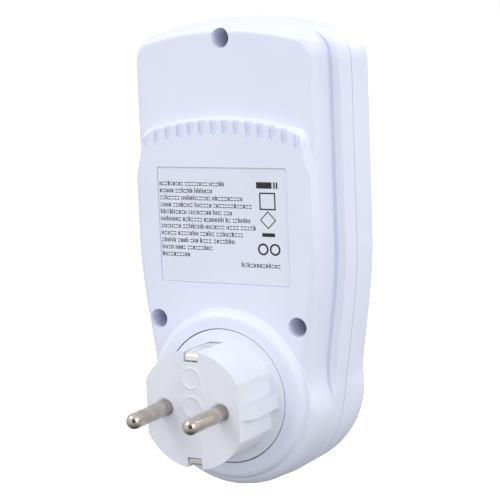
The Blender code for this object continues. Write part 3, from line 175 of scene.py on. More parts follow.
def finishEdges(piece, width, angle=32.0, segments=2, smooth=38.0):
    # flat parts lose their cut lines, edges get the mould's small radius, and flats keep their own normals
    pickOnly(piece)
    bpy.ops.object.mode_set(mode="EDIT")
    bpy.ops.mesh.select_all(action="SELECT")
    bpy.ops.mesh.remove_doubles(threshold=0.002 * mm)
    bpy.ops.mesh.dissolve_limited(angle_limit=math.radians(0.4))
    bpy.ops.object.mode_set(mode="OBJECT")
    if width:
        applied(piece, "BEVEL", width=width * mm, segments=segments, limit_method="ANGLE",
                angle_limit=math.radians(angle), use_clamp_overlap=True)
    pickOnly(piece)
    bpy.ops.object.shade_smooth_by_angle(angle=math.radians(smooth))
    applied(piece, "WEIGHTED_NORMAL", weight=90, keep_sharp=True)
    return piece


def sRgb(code):
    # an sRGB hex value as the linear colour that shaders take
    parts = [int(code[i:i + 2], 16) / 255 for i in (1, 3, 5)]
    return tuple(p / 12.92 if p <= 0.04045 else ((p + 0.055) / 1.055) ** 2.4 for p in parts) + (1.0,)


def addNode(tree, kind, inputs, **settings):
    # an input is a value, or a (node, output) pair to link from
    node = tree.nodes.new("ShaderNode" + kind)
    for setting, value in settings.items():
        setattr(node, setting, value)
    for socket, value in inputs.items():
        if isinstance(value, tuple) and isinstance(value[0], bpy.types.Node):
            tree.links.new(value[0].outputs[value[1]], node.inputs[socket])
        else:
            node.inputs[socket].default_value = value
    return node


def emptyMaterial(name):
    made = bpy.data.materials.new(name)
    made.use_nodes = True
    tree = made.node_tree
    return made, tree, tree.nodes["Principled BSDF"], addNode(tree, "TexCoord", {})


def grainNoise(tree, place, grain, detail=2.0):
    # grain is the pattern's real size in millimetres, and a noise scale counts per metre
    return addNode(tree, "TexNoise", {"Vector": (place, "Object"), "Scale": 1000 / grain, "Detail": detail})


def twoTones(tree, source, tones, stops=(0.0, 1.0)):
    ramp = addNode(tree, "ValToRGB", {"Fac": source})
    for element, stop, tone in zip(ramp.color_ramp.elements, stops, tones):
        element.position, element.color = stop, sRgb(tone)
    return ramp


def spread(tree, source, low, high):
    return addNode(tree, "MapRange", {"Value": source, "To Min": low, "To Max": high})


def relieved(tree, source, strength, depth):
    return addNode(tree, "Bump", {"Height": source, "Strength": strength, "Distance": depth * mm})


def feed(tree, shader, **sources):
    # links colour, sheen and relief nodes to the shader's own sockets
    sockets = {"tint": ("Color", "Base Color"), "sheen": ("Result", "Roughness"), "relief": ("Normal", "Normal")}
    for part, node in sources.items():
        output, socket = sockets[part]
        tree.links.new(node.outputs[output], shader.inputs[socket])


def mouldedPlastic(name, tone, shadeTone, roughness, grain, relief, ior=1.54):
    # satin injection moulding: a fine spark-eroded grain, faint flow clouds, and a slightly uneven sheen
    made, tree, shader, place = emptyMaterial(name)
    clouds = (grainNoise(tree, place, 22.0, 3.0), "Fac")
    fine = (grainNoise(tree, place, grain), "Fac")
    feed(tree, shader, tint=twoTones(tree, clouds, (shadeTone, tone), (0.35, 0.65)),
         sheen=spread(tree, clouds, roughness - 0.03, roughness + 0.03), relief=relieved(tree, fine, 0.35, relief))
    shader.inputs["IOR"].default_value = ior
    return made


def workedMetal(name, tone, wornTone, roughness, grain, stretch):
    # plated or bare sheet and bar: fine lines along one axis and soft cloudy tarnish
    made, tree, shader, place = emptyMaterial(name)
    drawn = addNode(tree, "Mapping", {"Vector": (place, "Object"), "Scale": stretch})
    lines = addNode(tree, "TexNoise", {"Vector": (drawn, "Vector"), "Scale": 1000 / grain, "Detail": 3.0})
    clouds = (grainNoise(tree, place, 3.5, 4.0), "Fac")
    feed(tree, shader, tint=twoTones(tree, clouds, (wornTone, tone), (0.38, 0.62)),
         sheen=spread(tree, (lines, "Fac"), roughness - 0.06, roughness + 0.1),
         relief=relieved(tree, (lines, "Fac"), 0.3, 0.004))
    shader.inputs["Metallic"].default_value = 1.0
    return made


def clearAcrylic(name):
    # polished clear acrylic: nearly all light goes through, with a hard bright reflection
    made, tree, shader, place = emptyMaterial(name)
    feed(tree, shader, sheen=spread(tree, (grainNoise(tree, place, 8.0), "Fac"), 0.02, 0.05))
    shader.inputs["Base Color"].default_value = sRgb("#F4F8F8")
    shader.inputs["Transmission Weight"].default_value = 1.0
    shader.inputs["IOR"].default_value = 1.49
    return made


def solderMask(name):
    # glass-fibre laminate under green solder mask, with copper tracks that show as lighter lines
    made, tree, shader, place = emptyMaterial(name)
    tracks = addNode(tree, "TexWave", {"Vector": (place, "Object"), "Scale": 1000 / 22.0, "Distortion": 5.0,
                                       "Detail": 2.0, "Detail Scale": 1.2}, wave_profile="SAW")
    edge = twoTones(tree, (tracks, "Fac"), ("#1B5A33", "#2C7A48"), (0.45, 0.5))
    feed(tree, shader, tint=edge, relief=relieved(tree, (edge, "Color"), 0.4, 0.03))
    shader.inputs["Roughness"].default_value = 0.38
    return made


finishes = {
    "white_abs": mouldedPlastic("satin white ABS", "#E2E6F8", "#DFE3F6", 0.42, 0.35, 0.02),
    "white_insert": mouldedPlastic("white polyamide insert", "#E5E8F3", "#E1E5F0", 0.46, 0.3, 0.02, 1.53),
    "key_plastic": mouldedPlastic("slate blue ABS key", "#5A6C8C", "#536484", 0.5, 0.3, 0.03),
    "nickel": workedMetal("nickel-plated brass", "#D2CAC1", "#BDB3A9", 0.2, 0.25, (1.0, 9.0, 1.0)),
    "spring_brass": workedMetal("rolled spring brass", "#D9B668", "#B8924A", 0.3, 0.3, (1.0, 8.0, 1.0)),
    "copper_alloy": workedMetal("manganin strip", "#C08A5E", "#A06E48", 0.34, 0.3, (1.0, 8.0, 1.0)),
    "zinc_steel": workedMetal("zinc-plated steel", "#C4C8CC", "#A5AAB0", 0.3, 0.4, (1.0, 1.0, 1.0)),
    "black_plastic": mouldedPlastic("black epoxy moulding", "#242426", "#1B1B1D", 0.5, 0.4, 0.03),
    "grey_plastic": mouldedPlastic("grey acetal", "#A4A7AC", "#989BA1", 0.5, 0.3, 0.02, 1.48),
    "board_laminate": solderMask("solder-masked laminate"),
    "display_glass": mouldedPlastic("reflective display cell", "#A9B2A2", "#A2AB9B", 0.22, 0.12, 0.002, 1.52),
    "clear_window": clearAcrylic("polished clear acrylic"),
    "printed_label": mouldedPlastic("satin vinyl label", "#E1E4F4", "#DEE1F1", 0.48, 0.5, 0.01, 1.5),
    "capacitor_yellow": mouldedPlastic("yellow flame-proof case", "#D8B02C", "#CCA424", 0.42, 0.4, 0.02),
    "varistor_blue": mouldedPlastic("blue epoxy dip", "#2F5FA8", "#27528F", 0.3, 1.6, 0.06),
    "battery_wrap": mouldedPlastic("green shrink wrap", "#3C8F5A", "#34814F", 0.32, 1.2, 0.03),
    "wire_red": mouldedPlastic("red wire insulation", "#A8281F", "#98221A", 0.4, 0.4, 0.02, 1.5),
    "wire_blue": mouldedPlastic("blue wire insulation", "#2347A0", "#1E3D8C", 0.4, 0.4, 0.02, 1.5),
}
# painted reflection: the earth strips are the pins' nickel plating, given a near-white colour that stands in for
# the white surroundings they reflect
nickelPaintedBright = workedMetal("nickel-plated strip, painted bright", "#FAF8F4", "#EFECE7", 0.22, 0.3, (1.0, 9.0, 1.0))
labelInk = mouldedPlastic("black printing ink", "#1C1C20", "#242429", 0.55, 0.2, 0.004, 1.5)
segmentInk = mouldedPlastic("switched liquid crystal", "#2A302A", "#2E342E", 0.3, 0.2, 0.002, 1.52)
# painted light: a bore this deep reads dark, so its walls get a paler copy of the shell's white that lightens that
# shade
wellPaintedLighter = mouldedPlastic("deep screw well, painted lighter", "#E6EBFB", "#E1E6F8", 0.6, 0.35, 0.02)
print("finishes made", len(finishes))


def settle(piece, body, slotName, *nodes, material=None):
    piece.data.materials.clear()
    piece.data.materials.append(material or finishes[slotName])
    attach(piece, body)
    if nodes:
        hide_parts(*nodes)
    return piece


housing = {
    "halfWidth": 36.7, "top": 113.7, "bottomRadius": 32.4, "bottomDrop": 29.2, "cornerRadius": 10.3,
    "crownRadius": 108.0, "flareAngle": 6.0, "flareTop": 46.0, "wall": 2.0, "back": 22.0, "upper": 25.0,
    "flange": 19.0, "ledge": 31.6, "groove": 0.6, "seam": 38.5, "front": 56.0, "frontRound": 8.0, "gap": 0.3,
    "bulgeInset": 5.2, "upperInset": 0.1, "ledgeInset": 4.8, "bottomInset": 2.8, "seamInset": 1.6,
    "topInset": 2.0, "edgeWidth": 3.2, "edgeDepth": 4.0, "topEdgeWidth": 2.5, "draft": 8.0,
    "cornerShare": 0.45, "bottomTuck": 0.6,
}


def smoothStep(low, high, value):
    t = min(max((value - low) / (high - low), 0.0), 1.0)
    return t * t * (3 - 2 * t)


def housingOutline():
    h = housing
    cornerX, crownZ = h["halfWidth"] - h["cornerRadius"], h["top"] - h["crownRadius"]
    cornerZ = crownZ + math.sqrt((h["crownRadius"] - h["cornerRadius"]) ** 2 - cornerX ** 2)
    right = arc(h["bottomRadius"], 40, 0.0, 0.0, -90.0, h["flareAngle"])
    right = [(x, z * h["bottomDrop"] / h["bottomRadius"] if z < 0 else z) for x, z in right]
    start, end = right[-1], (h["halfWidth"], h["flareTop"])
    lean = (end[1] - start[1]) * 0.12
    a = math.radians(h["flareAngle"])
    first = (start[0] - lean * math.sin(a), start[1] + lean * math.cos(a))
    second = (end[0], start[1] + (end[1] - start[1]) * 0.62)
    for i in range(1, 19):
        t = i / 18
        weights = ((1 - t) ** 3, 3 * (1 - t) ** 2 * t, 3 * (1 - t) * t * t, t ** 3)
        pulls = [(w * x, w * z) for w, (x, z) in zip(weights, (start, first, second, end))]
        right.append(tuple(sum(pull[k] for pull in pulls) for k in (0, 1)))
    right += [(h["halfWidth"], end[1] + (cornerZ - end[1]) * i / 8) for i in range(1, 8)]
    tangent = math.degrees(math.atan2(cornerZ - crownZ, cornerX))
    right += arc(h["cornerRadius"], 24, cornerX, cornerZ, 0.0, tangent)
    right += arc(h["crownRadius"], 16, 0.0, crownZ, tangent, 90.0)[1:]
    points = right + [(-x, z) for x, z in reversed(right[1:-1])]
    result = []
    for i, point in enumerate(points):
        along = (Vector(points[(i + 1) % len(points)]) - Vector(points[i - 1])).normalized()
        result.append((Vector(point), Vector((along.y, -along.x))))
    return result


outline = housingOutline()


def cornerPoints(side, top):
    # the corner and half crown of a ring that lies further in at the side than at the top
    h = housing
    radius = h["cornerRadius"] - h["cornerShare"] * side - (1 - h["cornerShare"]) * min(side, top)
    crownRadius, crownZ = h["crownRadius"] - top, h["top"] - h["crownRadius"]
    cornerX = h["halfWidth"] - side - radius
    cornerZ = crownZ + math.sqrt((crownRadius - radius) ** 2 - cornerX ** 2)
    tangent = math.degrees(math.atan2(cornerZ - crownZ, cornerX))
    corner = arc(radius, 24, cornerX, cornerZ, 0.0, tangent)
    return corner + arc(crownRadius, 16, 0.0, crownZ, tangent, 90.0)[1:]


def ringAt(side, depth, bottom=None, top=None, grow=0.0, dip=0.0):
    # the outline moved in by its own amount at the sides, the round bottom and the crown
    # dip deepens the sides only
    bottom = side if bottom is None else bottom
    top = side if top is None else top
    corner = cornerPoints(side + grow, top + grow)
    first = (len(outline) + 1) // 2 - len(corner) + 1
    corner += [(-x, z) for x, z in reversed(corner[:-1])]
    points = []
    for spot, (point, normal) in enumerate(outline):
        low = max(bottom - (housing["bottomRadius"] - point.length), 0.0) if point.y < 0 else bottom
        if depth < housing["ledge"]:
            nearBack = (housing["ledge"] - depth) / (housing["ledge"] - housing["back"])
            low += housing["bottomTuck"] * nearBack * smoothStep(0.8, 1.0, -normal.y)
        sideShare = smoothStep(-6.0, 10.0, point.y)
        topShare = smoothStep(0.3, 0.98, normal.y)
        inset = low + (side - low) * sideShare
        inset += (top - inset) * topShare
        moved = point - normal * (inset + grow)
        if 0 <= spot - first < len(corner):
            moved = Vector(corner[spot - first])
        points.append((moved.x * mm, -(depth + dip * sideShare * (1 - topShare)) * mm, moved.y * mm))
    return points


def wallInsets(depth):
    h = housing
    start = h["back"] + h["edgeDepth"]
    side = h["bulgeInset"] + (h["ledgeInset"] - h["bulgeInset"]) * (depth - start) / (h["ledge"] - start)
    left = min(1.0, (h["seam"] - depth) / (h["seam"] - start))
    return side, h["seamInset"] + (h["bottomInset"] - h["seamInset"]) * left, h["topInset"] * left


def roundedEdge(back, grow=0.0, more=0.0, steps=9):
    h = housing
    rings = []
    for i in range(steps + 1):
        turn = math.radians(90.0 * i / steps)
        out, down = 1 - math.sin(turn), h["edgeDepth"] * (1 - math.cos(turn))
        side = h["bulgeInset"] + more + h["edgeWidth"] * out
        bottom, top = h["bottomInset"] + h["edgeWidth"] * out, h["topInset"] + h["topEdgeWidth"] * out
        rings.append(ringAt(side, back + grow + down, bottom, top, grow))
    return rings


def rearBody(back, grow=0.0, steps=10):
    # from the flat back over the bulge's wall and the side ledge to the rounded rim at the seam
    h = housing
    rings = roundedEdge(back, grow, h["upperInset"])
    floor = h["ledge"] + h["groove"]
    side, bottom, top = wallInsets(floor)
    if not grow:
        for inward, down, dip in ((0.0, 0.0, 0.7), (0.45, 0.02, 0.75), (0.9, 0.04, 0.55), (1.4, 0.06, 0.3)):
            rings.append(ringAt(side - inward, floor + down, bottom, top, dip=dip))
    else:
        rings.append(ringAt(side, floor + grow, bottom, top, grow))
    rim = h["seam"] - floor
    for i in range(4, steps):
        turn = math.radians(90.0 * i / steps)
        depth = floor + rim * (1 - math.cos(turn) ** 0.8)
        bottom, top = wallInsets(depth)[1:]
        side = (h["ledgeInset"] - 0.4) * (1 - math.sin(turn) ** 0.8)
        rings.append(ringAt(side, depth + grow, bottom, top, grow))
    return rings


def seamRing(depth, grow=0.0):
    return ringAt(0.0, depth, housing["seamInset"], 0.0, grow)


panel = {
    "archDrop": 29.1, "archRadius": 91.3, "archCorner": 4.0, "slope": 1.6,
    "ventCount": 14, "ventPitch": 4.0, "ventWidth": 2.3, "ventLength": 4.0, "ventDepth": 0.8,
    "labelWidth": 45.0, "labelBelowArch": 15.2, "labelAboveBoss": 7.7, "labelRecess": 0.5,
    "bossFoot": 26.4, "bossShoulder": 2.6, "insertRadius": 20.6,
    "screwX": 24.2, "screwZ": 22.1, "topScrewDrop": 5.9,
    "wellRadius": 3.0, "columnRadius": 4.25, "screwWay": 1.65, "columnFloor": 2.0,
    "postX": 24.3, "postZ": 98.15, "postRadius": 2.5, "postEnd": 32.1, "pilotRadius": 1.3, "weld": 0.7,
}
archZ = housing["top"] - panel["archDrop"]
screwPlaces = {"left": (-panel["screwX"], panel["screwZ"]), "right": (panel["screwX"], panel["screwZ"]),
               "top": (0.0, housing["top"] - panel["topScrewDrop"])}


def archOutline(rise, reach):
    # everything above the raised panel's arched edge; rise lifts that edge along its slope
    corner = panel["archCorner"]
    inner = housing["halfWidth"] - housing["bulgeInset"] - housing["edgeWidth"] - corner + 0.6
    radius = panel["archRadius"] + rise
    turn = math.degrees(math.acos(inner / radius))
    points = arc(radius, 41, 0.0, archZ - panel["archRadius"], turn, 180.0 - turn)
    edgeX, edgeZ = points[0]
    bend = arc(corner + rise, 11, edgeX, edgeZ - corner, 2.0, 72.0)
    fades = ((3.6, 15.0), (2.2, 9.5), (0.9, 4.5), (0.25, 1.8))  # out and down: the edge runs out down the side
    fade = [(bend[0][0] + out, edgeZ - corner - down) for out, down in fades]
    right = [(reach, fade[0][1])] + fade + bend
    left = [(-x, z) for x, z in reversed(right)]
    return right + points[1:-1] + left + [(-reach, housing["top"] + reach), (reach, housing["top"] + reach)]


def raisedPanel():
    h = housing
    floor = h["ledge"] + h["groove"]
    side, bottom, top = wallInsets(floor)
    piece = skin("raised", roundedEdge(h["back"], -0.02) + [ringAt(side, floor, bottom, top, 0.05)])
    reach = h["halfWidth"] * 1.2
    levels = [(h["back"] - 1.0, -panel["slope"]), (h["upper"] + 0.01, 0.0), (h["ledge"] + 3.0, 0.0)]
    return combine(piece, skin("above", [atDepth(archOutline(rise, reach), depth) for depth, rise in levels]))


def rearHousing():
    h, p = housing, panel
    shell = skin("rearHousing", rearBody(h["upper"]) + [seamRing(h["seam"] - h["gap"] / 2)])
    combine(shell, raisedPanel(), "UNION")
    foot, rim = p["bossFoot"], p["insertRadius"] + h["gap"]
    profile = [(foot + 0.9, h["back"] + 0.5), (foot + 0.7, h["back"] - 0.01), (foot + 0.1, h["back"] - 0.16),
               (foot - 0.2, h["back"] - 0.5)]
    for i in range(1, 9):  # the ring's rounded outer shoulder
        turn = math.radians(90.0 * i / 8)
        out = p["bossShoulder"] * (1 - math.cos(turn))
        profile.append((foot - 0.2 - out, h["back"] - 0.5 - 2.5 * math.sin(turn)))
    profile += [(rim + 0.5, h["flange"]), (rim - 0.5, h["flange"]), (rim - 1.0, h["flange"] + 0.02),
                (rim - 1.0, h["back"] + 0.5)]
    combine(shell, turned("boss", profile, steps=160), "UNION")
    main = roundedEdge(h["upper"], h["wall"], h["upperInset"], 5)
    side, bottom, top = wallInsets(h["ledge"])
    main.append(ringAt(side, h["ledge"] + h["wall"] * 0.6, bottom, top, h["wall"]))
    main.append(ringAt(0.0, h["ledge"] + h["wall"] * 1.6, *wallInsets(h["ledge"] + h["wall"])[1:], h["wall"]))
    main.append(seamRing(h["seam"] + h["wall"], h["wall"]))
    combine(shell, skin("hollow", main))
    deep = skin("deepHollow", roundedEdge(h["back"], h["wall"], 0.0, 5))
    limit = archOutline(-h["wall"] * 2, h["halfWidth"] * 1.3)
    combine(shell, combine(deep, prism("limit", limit, 0.0, h["front"])))
    for x, z in screwPlaces.values():
        back = h["upper"] if z > archZ else h["back"]
        limit = rearBody(back, h["wall"] * 0.5, 5)
        inset = h["wall"] + h["gap"]
        limit += [seamRing(h["seam"] - 2 * h["gap"], inset), seamRing(h["front"], inset)]
        column = rod("column", p["columnRadius"], x, z, back, h["seam"] + p["columnFloor"])
        combine(shell, combine(column, skin("columnLimit", limit), "INTERSECT"), "UNION")
        combine(shell, rod("screwWay", p["screwWay"], x, z, 0.0, h["front"], 24))
    root = h["upper"] + p["weld"]
    for x in (-p["postX"], p["postX"]):
        combine(shell, rod("post", p["postRadius"], x, p["postZ"], root, p["postEnd"], 32), "UNION")
        combine(shell, rod("pilot", p["pilotRadius"], x, p["postZ"], root + h["wall"], h["seam"], 20))
    combine(shell, rod("plugWay", rim, 0.0, 0.0, 0.0, h["seam"], 160))
    half, slope = p["ventWidth"] / 2, p["slope"]
    slotOutline = arc(half, 13, 0.0, half - slope - p["ventLength"], 180.0, 360.0)
    slotOutline += [(half, slope), (-half, slope)]
    firstVent = prism("ventCutter", slotOutline, h["back"] - 1.0, h["back"] + p["ventDepth"])
    for i in range(p["ventCount"]):
        x = (i - (p["ventCount"] - 1) / 2) * p["ventPitch"]
        edge = archZ - p["archRadius"] + math.sqrt(p["archRadius"] ** 2 - x * x)
        combine(shell, copied(firstVent, "vent", x, edge))
    bpy.data.objects.remove(firstVent, do_unlink=True)
    low, high = p["bossFoot"] + p["labelAboveBoss"], archZ - p["labelBelowArch"]
    recess = roundedBox(p["labelWidth"], high - low, 0.7, 0.0, (low + high) / 2)
    combine(shell, prism("labelRecess", recess, 0.0, h["back"] + p["labelRecess"]))
    for x, z in screwPlaces.values():
        combine(shell, rod("well", p["wellRadius"], x, z, 0.0, h["seam"], 64))
    finishEdges(shell, 0.28)
    settle(shell, "housing", "white_abs", "rear_shell")
    shell.data.materials.append(wellPaintedLighter)
    # painted light: the walls of the three wells take the paler copy of the shell's white
    for face in shell.data.polygons:  # the walls of the three wells
        for x, z in screwPlaces.values():
            near = math.hypot(face.center.x / mm - x, face.center.z / mm - z)
            if near < p["wellRadius"] + 0.02 and -face.center.y / mm > h["back"] + 0.35:
                face.material_index = 1
    return shell


rearHousing()
print("rear shell made")


front = {
    "windowWidth": 50.0, "windowHeight": 34.0, "windowDrop": 30.7, "seat": 2.0, "windowThickness": 1.3,
    "keyWidth": 9.5, "keyHeight": 7.5, "keyPitch": 13.0, "keyGap": 0.35, "resetRadius": 1.7, "resetDrop": 10.5,
    "socketOuter": 21.5, "socketRadius": 19.5, "socketMouth": 56.8, "socketFloor": 39.3, "socketBack": 37.3,
    "socketFlats": 33.2, "grooveWidth": 38.0, "grooveHeight": 5.4, "pinSpacing": 19.0, "holeRadius": 3.0,
    "postRadius": 3.75, "pilotReach": 13.0,
}
windowZ = housing["top"] - front["windowDrop"]
keyZ = (front["socketOuter"] + windowZ - front["windowHeight"] / 2) / 2
keyNames = ("function", "cost", "up", "down")
keyPlaces = {name: ((i - 1.5) * front["keyPitch"], keyZ) for i, name in enumerate(keyNames)}
keyPlaces["reset"] = (0.0, keyZ - front["resetDrop"])


def keyOutline(name, grow):
    x, z = keyPlaces[name]
    if name == "reset":
        return arc(front["resetRadius"] + grow, 32, x, z)
    return roundedBox(front["keyWidth"] + 2 * grow, front["keyHeight"] + 2 * grow, 2.0 + grow, x, z, 8)


def frontEdge(grow, steps):
    # rings of the large rounding round the front, grown in by a wall
    h = housing
    radius = h["frontRound"] - grow
    rings = []
    for i in range(steps + 1):
        turn = math.radians(90.0 * i / steps)
        depth = h["front"] - grow - radius * (1 - math.sin(turn))
        rings.append(ringAt(0.0, depth, grow=grow + radius * (1 - math.cos(turn))))
    return rings


def frontHousing():
    h, f = housing, front
    rings = [seamRing(h["seam"] + h["gap"] / 2)]
    for i in range(1, 4):
        depth = h["seam"] + h["draft"] * i / 4
        rings.append(ringAt(0.0, depth, h["seamInset"] * (1 - smoothStep(0.0, 1.0, i / 4)), 0.0))
    rings.append(ringAt(0.0, h["seam"] + h["draft"]))
    shell = skin("frontHousing", rings + frontEdge(0.0, 10))
    inside = [seamRing(h["seam"] - h["wall"], h["wall"]), seamRing(h["seam"] + h["gap"], h["wall"])]
    inside.append(ringAt(0.0, h["seam"] + h["draft"], grow=h["wall"]))
    combine(shell, skin("frontHollow", inside + frontEdge(h["wall"], 5)))
    for x, z in screwPlaces.values():
        near, far = h["seam"] + panel["columnFloor"] + h["gap"], h["front"] - h["wall"] + panel["weld"]
        post = rod("post", f["postRadius"], x, z, near, far, 40)
        limit = [ringAt(0.0, h["back"], grow=h["wall"] / 2)] + frontEdge(h["wall"] / 2, 5)
        combine(post, skin("postLimit", limit), "INTERSECT")
        combine(shell, post, "UNION")
        combine(shell, rod("pilot", panel["screwWay"], x, z, 0.0, h["seam"] + f["pilotReach"], 24))
    combine(shell, rod("socketWay", f["socketOuter"] + h["gap"], 0.0, 0.0, h["seam"], beyond, 160))
    size = (f["windowWidth"] + 2 * h["gap"], f["windowHeight"] + 2 * h["gap"])
    rebate = roundedBox(*size, 2.0, 0.0, windowZ, 10)
    combine(shell, prism("rebate", rebate, h["front"] - f["windowThickness"] - h["gap"], beyond))
    inner = roundedBox(size[0] - 2 * f["seat"], size[1] - 2 * f["seat"], 1.5, 0.0, windowZ, 8)
    combine(shell, prism("opening", inner, h["seam"], beyond))
    for name in keyPlaces:
        combine(shell, prism("keyWay", keyOutline(name, f["keyGap"]), h["seam"], beyond))
    finishEdges(shell, 0.25)
    return settle(shell, "housing", "white_abs", "front_shell")


frontHousing()
print("front shell made")


plug = {
    "radius": 17.8, "flats": 31.6, "ribHalf": 18.4, "ribHeight": 4.3, "ribStart": 1.3, "ribRamp": 3.2,
    "channelWidth": 5.0, "channelDepth": 1.8, "channelLength": 16.0, "chamberHeight": 18.0, "faceWall": 5.0,
    "retainerRadius": 22.6, "retainerNear": 24.3, "retainerFar": 26.3, "barrier": 3.0,
    "pinSpacing": 19.0, "pinRadius": 2.4, "pinLength": 19.0, "collar": 0.8,
    "stripWidth": 5.0, "stripInner": 16.3, "stripThickness": 0.8, "noseDrop": 2.3,
    "markRadius": 3.3, "markWidth": 0.45, "markZ": (9.6, 1.0),
    "notchWidth": 5.0, "notchDepth": 3.4, "notchLength": 2.0,
}


def flattenedCircle(radius, flats, steps=40):
    turn = math.degrees(math.acos(flats / 2 / radius))
    upper = arc(radius, steps, 0.0, 0.0, turn, 180.0 - turn)
    return upper + [(-x, -z) for x, z in upper]


def plugBody():
    p, h = plug, housing
    section = flattenedCircle(p["radius"], p["flats"])
    piece = prism("plugBody", section, 0.0, h["flange"] + 1.0)
    rim = panel["insertRadius"]
    flange = [(0.0, h["flange"]), (rim - 0.25, h["flange"]), (rim, h["flange"] + 0.25)]
    flange += [(rim, p["retainerNear"]), (p["retainerRadius"], p["retainerNear"])]
    flange += [(p["retainerRadius"], p["retainerFar"]), (0.0, p["retainerFar"])]
    combine(piece, turned("flange", flange, steps=160), "UNION")
    for sign in (-1, 1):
        root, tip, end = sign * (p["flats"] / 2 - 1.0), sign * p["ribHalf"], h["flange"] + 0.5
        line = [(root, p["ribStart"]), (sign * p["flats"] / 2, p["ribStart"])]
        line += [(tip, p["ribStart"] + p["ribRamp"]), (tip, end), (root, end)]
        half = p["ribHeight"] / 2
        rings = [[(x * mm, -d * mm, z * mm) for x, d in line] for z in (-half, half)]
        combine(piece, skin("rib", rings), "UNION")
    reach = math.sqrt((p["radius"] - 2.4) ** 2 - (p["chamberHeight"] / 2) ** 2) + 0.6
    for sign in (-1, 1):
        near, far = sorted((sign * p["barrier"] / 2, sign * reach))
        half = p["chamberHeight"] / 2
        combine(piece, block("chamber", (near, -p["retainerFar"] - 1.0, -half), (far, -p["faceWall"], half)))
        x, relief = sign * p["pinSpacing"] / 2, p["pinRadius"] + 0.75
        combine(piece, rod("bore", p["pinRadius"] + 0.12, x, 0.0, -3.0, p["faceWall"] + 0.3))
        combine(piece, turned("pinRelief", [(relief, -1.0), (relief, 0.35)], x))
    for sign in (-1, 1):
        half = p["channelWidth"] / 2
        low, high = sorted((sign * (p["radius"] - p["channelDepth"]), sign * (p["radius"] + 1.0)))
        combine(piece, block("channel", (-half, -p["channelLength"], low), (half, 1.0, high)))
        half = p["notchWidth"] / 2
        low, high = sorted((sign * (p["radius"] - p["notchDepth"]), sign * (p["radius"] + 1.0)))
        combine(piece, block("notch", (-half, -p["notchLength"], low), (half, 1.0, high)))
        under, over = p["stripInner"] - 0.15, p["stripInner"] + p["stripThickness"] + 0.1
        low, high = sorted((sign * under, sign * over))
        half = p["stripWidth"] / 2 + 0.1
        combine(piece, block("stripSlot", (-half, -p["retainerFar"] - 1.0, low), (half, 0.0, high)))
    finishEdges(piece, 0.45, angle=40.0, segments=3)
    for z in p["markZ"]:  # plain raised mould rings on the face
        outer, inner = p["markRadius"], p["markRadius"] - p["markWidth"]
        ring = turned("mark", [(outer + 0.1, 0.2), (outer, -0.06), (outer - 0.1, -0.12), (inner + 0.1, -0.12),
                               (inner, -0.06), (inner - 0.1, 0.2)], 0.0, z, 48)
        combine(piece, ring, "UNION")
    return settle(piece, "housing", "white_insert", "plug_insert")


def plugPin(name):
    p = plug
    r, collar = p["pinRadius"], p["faceWall"] + 0.3
    profile = [(0.0, -p["pinLength"])]
    for i in range(1, 13):  # a hemispherical nose
        turn = math.radians(90.0 * i / 12)
        profile.append((r * math.sin(turn), -p["pinLength"] + r * (1 - math.cos(turn))))
    profile += [(r, -14.0), (r, -7.0), (r, -1.2), (r - 0.08, -1.0), (r - 0.08, -0.7), (r, -0.5), (r, collar)]
    wide = r + p["collar"]
    profile += [(wide - 0.05, collar), (wide, collar + 0.1), (wide, collar + 0.9), (wide - 0.1, collar + 1.0)]
    profile += [(r - 0.9, collar + 1.0), (r - 0.9, 10.5), (r - 1.2, 10.9), (0.0, 10.9)]
    piece = turned(name, profile, p["pinSpacing"] / 2, 0.0, 72)
    pickOnly(piece)
    bpy.ops.object.shade_smooth_by_angle(angle=math.radians(35.0))
    return piece


def plugEarthStrip(name):
    # a rolled strip that bows out for contact and hooks down at the plug's face
    p = plug
    low, high, drop = p["stripInner"], p["stripInner"] + p["stripThickness"], p["noseDrop"]
    under = [(1.5, low - drop * 0.4), (1.9, low - 0.15), (2.7, low + 0.1), (5.0, low + 0.35)]
    under += [(11.0, low + 0.35), (14.5, low), (28.1, low)]
    over = [(28.1, high), (14.8, high), (11.0, high + 0.35), (5.0, high + 0.35), (2.4, high + 0.15)]
    over += [(1.4, high - 0.2), (0.8, high - 0.8), (0.6, low - drop * 0.6), (0.9, high - drop), (1.4, high - drop)]
    piece = strip(name, under + over, 0.0, p["stripWidth"] - 0.6)
    finishEdges(piece, 0.1, angle=30.0)
    return piece


plugBody()
livePin = plugPin("livePin")
settle(copied(livePin, "neutralPin", -plug["pinSpacing"]), "housing", "nickel", "neutral_pin")
settle(livePin, "housing", "nickel", "live_pin")
earthStrip = plugEarthStrip("plugEarthUpper")
lowerStrip = copied(earthStrip, "plugEarthLower", halfTurn=True)
# the earth strips take the nickel painted near white, a painted reflection
settle(earthStrip, "housing", "nickel", "plug_earth_contact_top", material=nickelPaintedBright)
settle(lowerStrip, "housing", "nickel", "plug_earth_contact_bottom", material=nickelPaintedBright)
print("plug made")


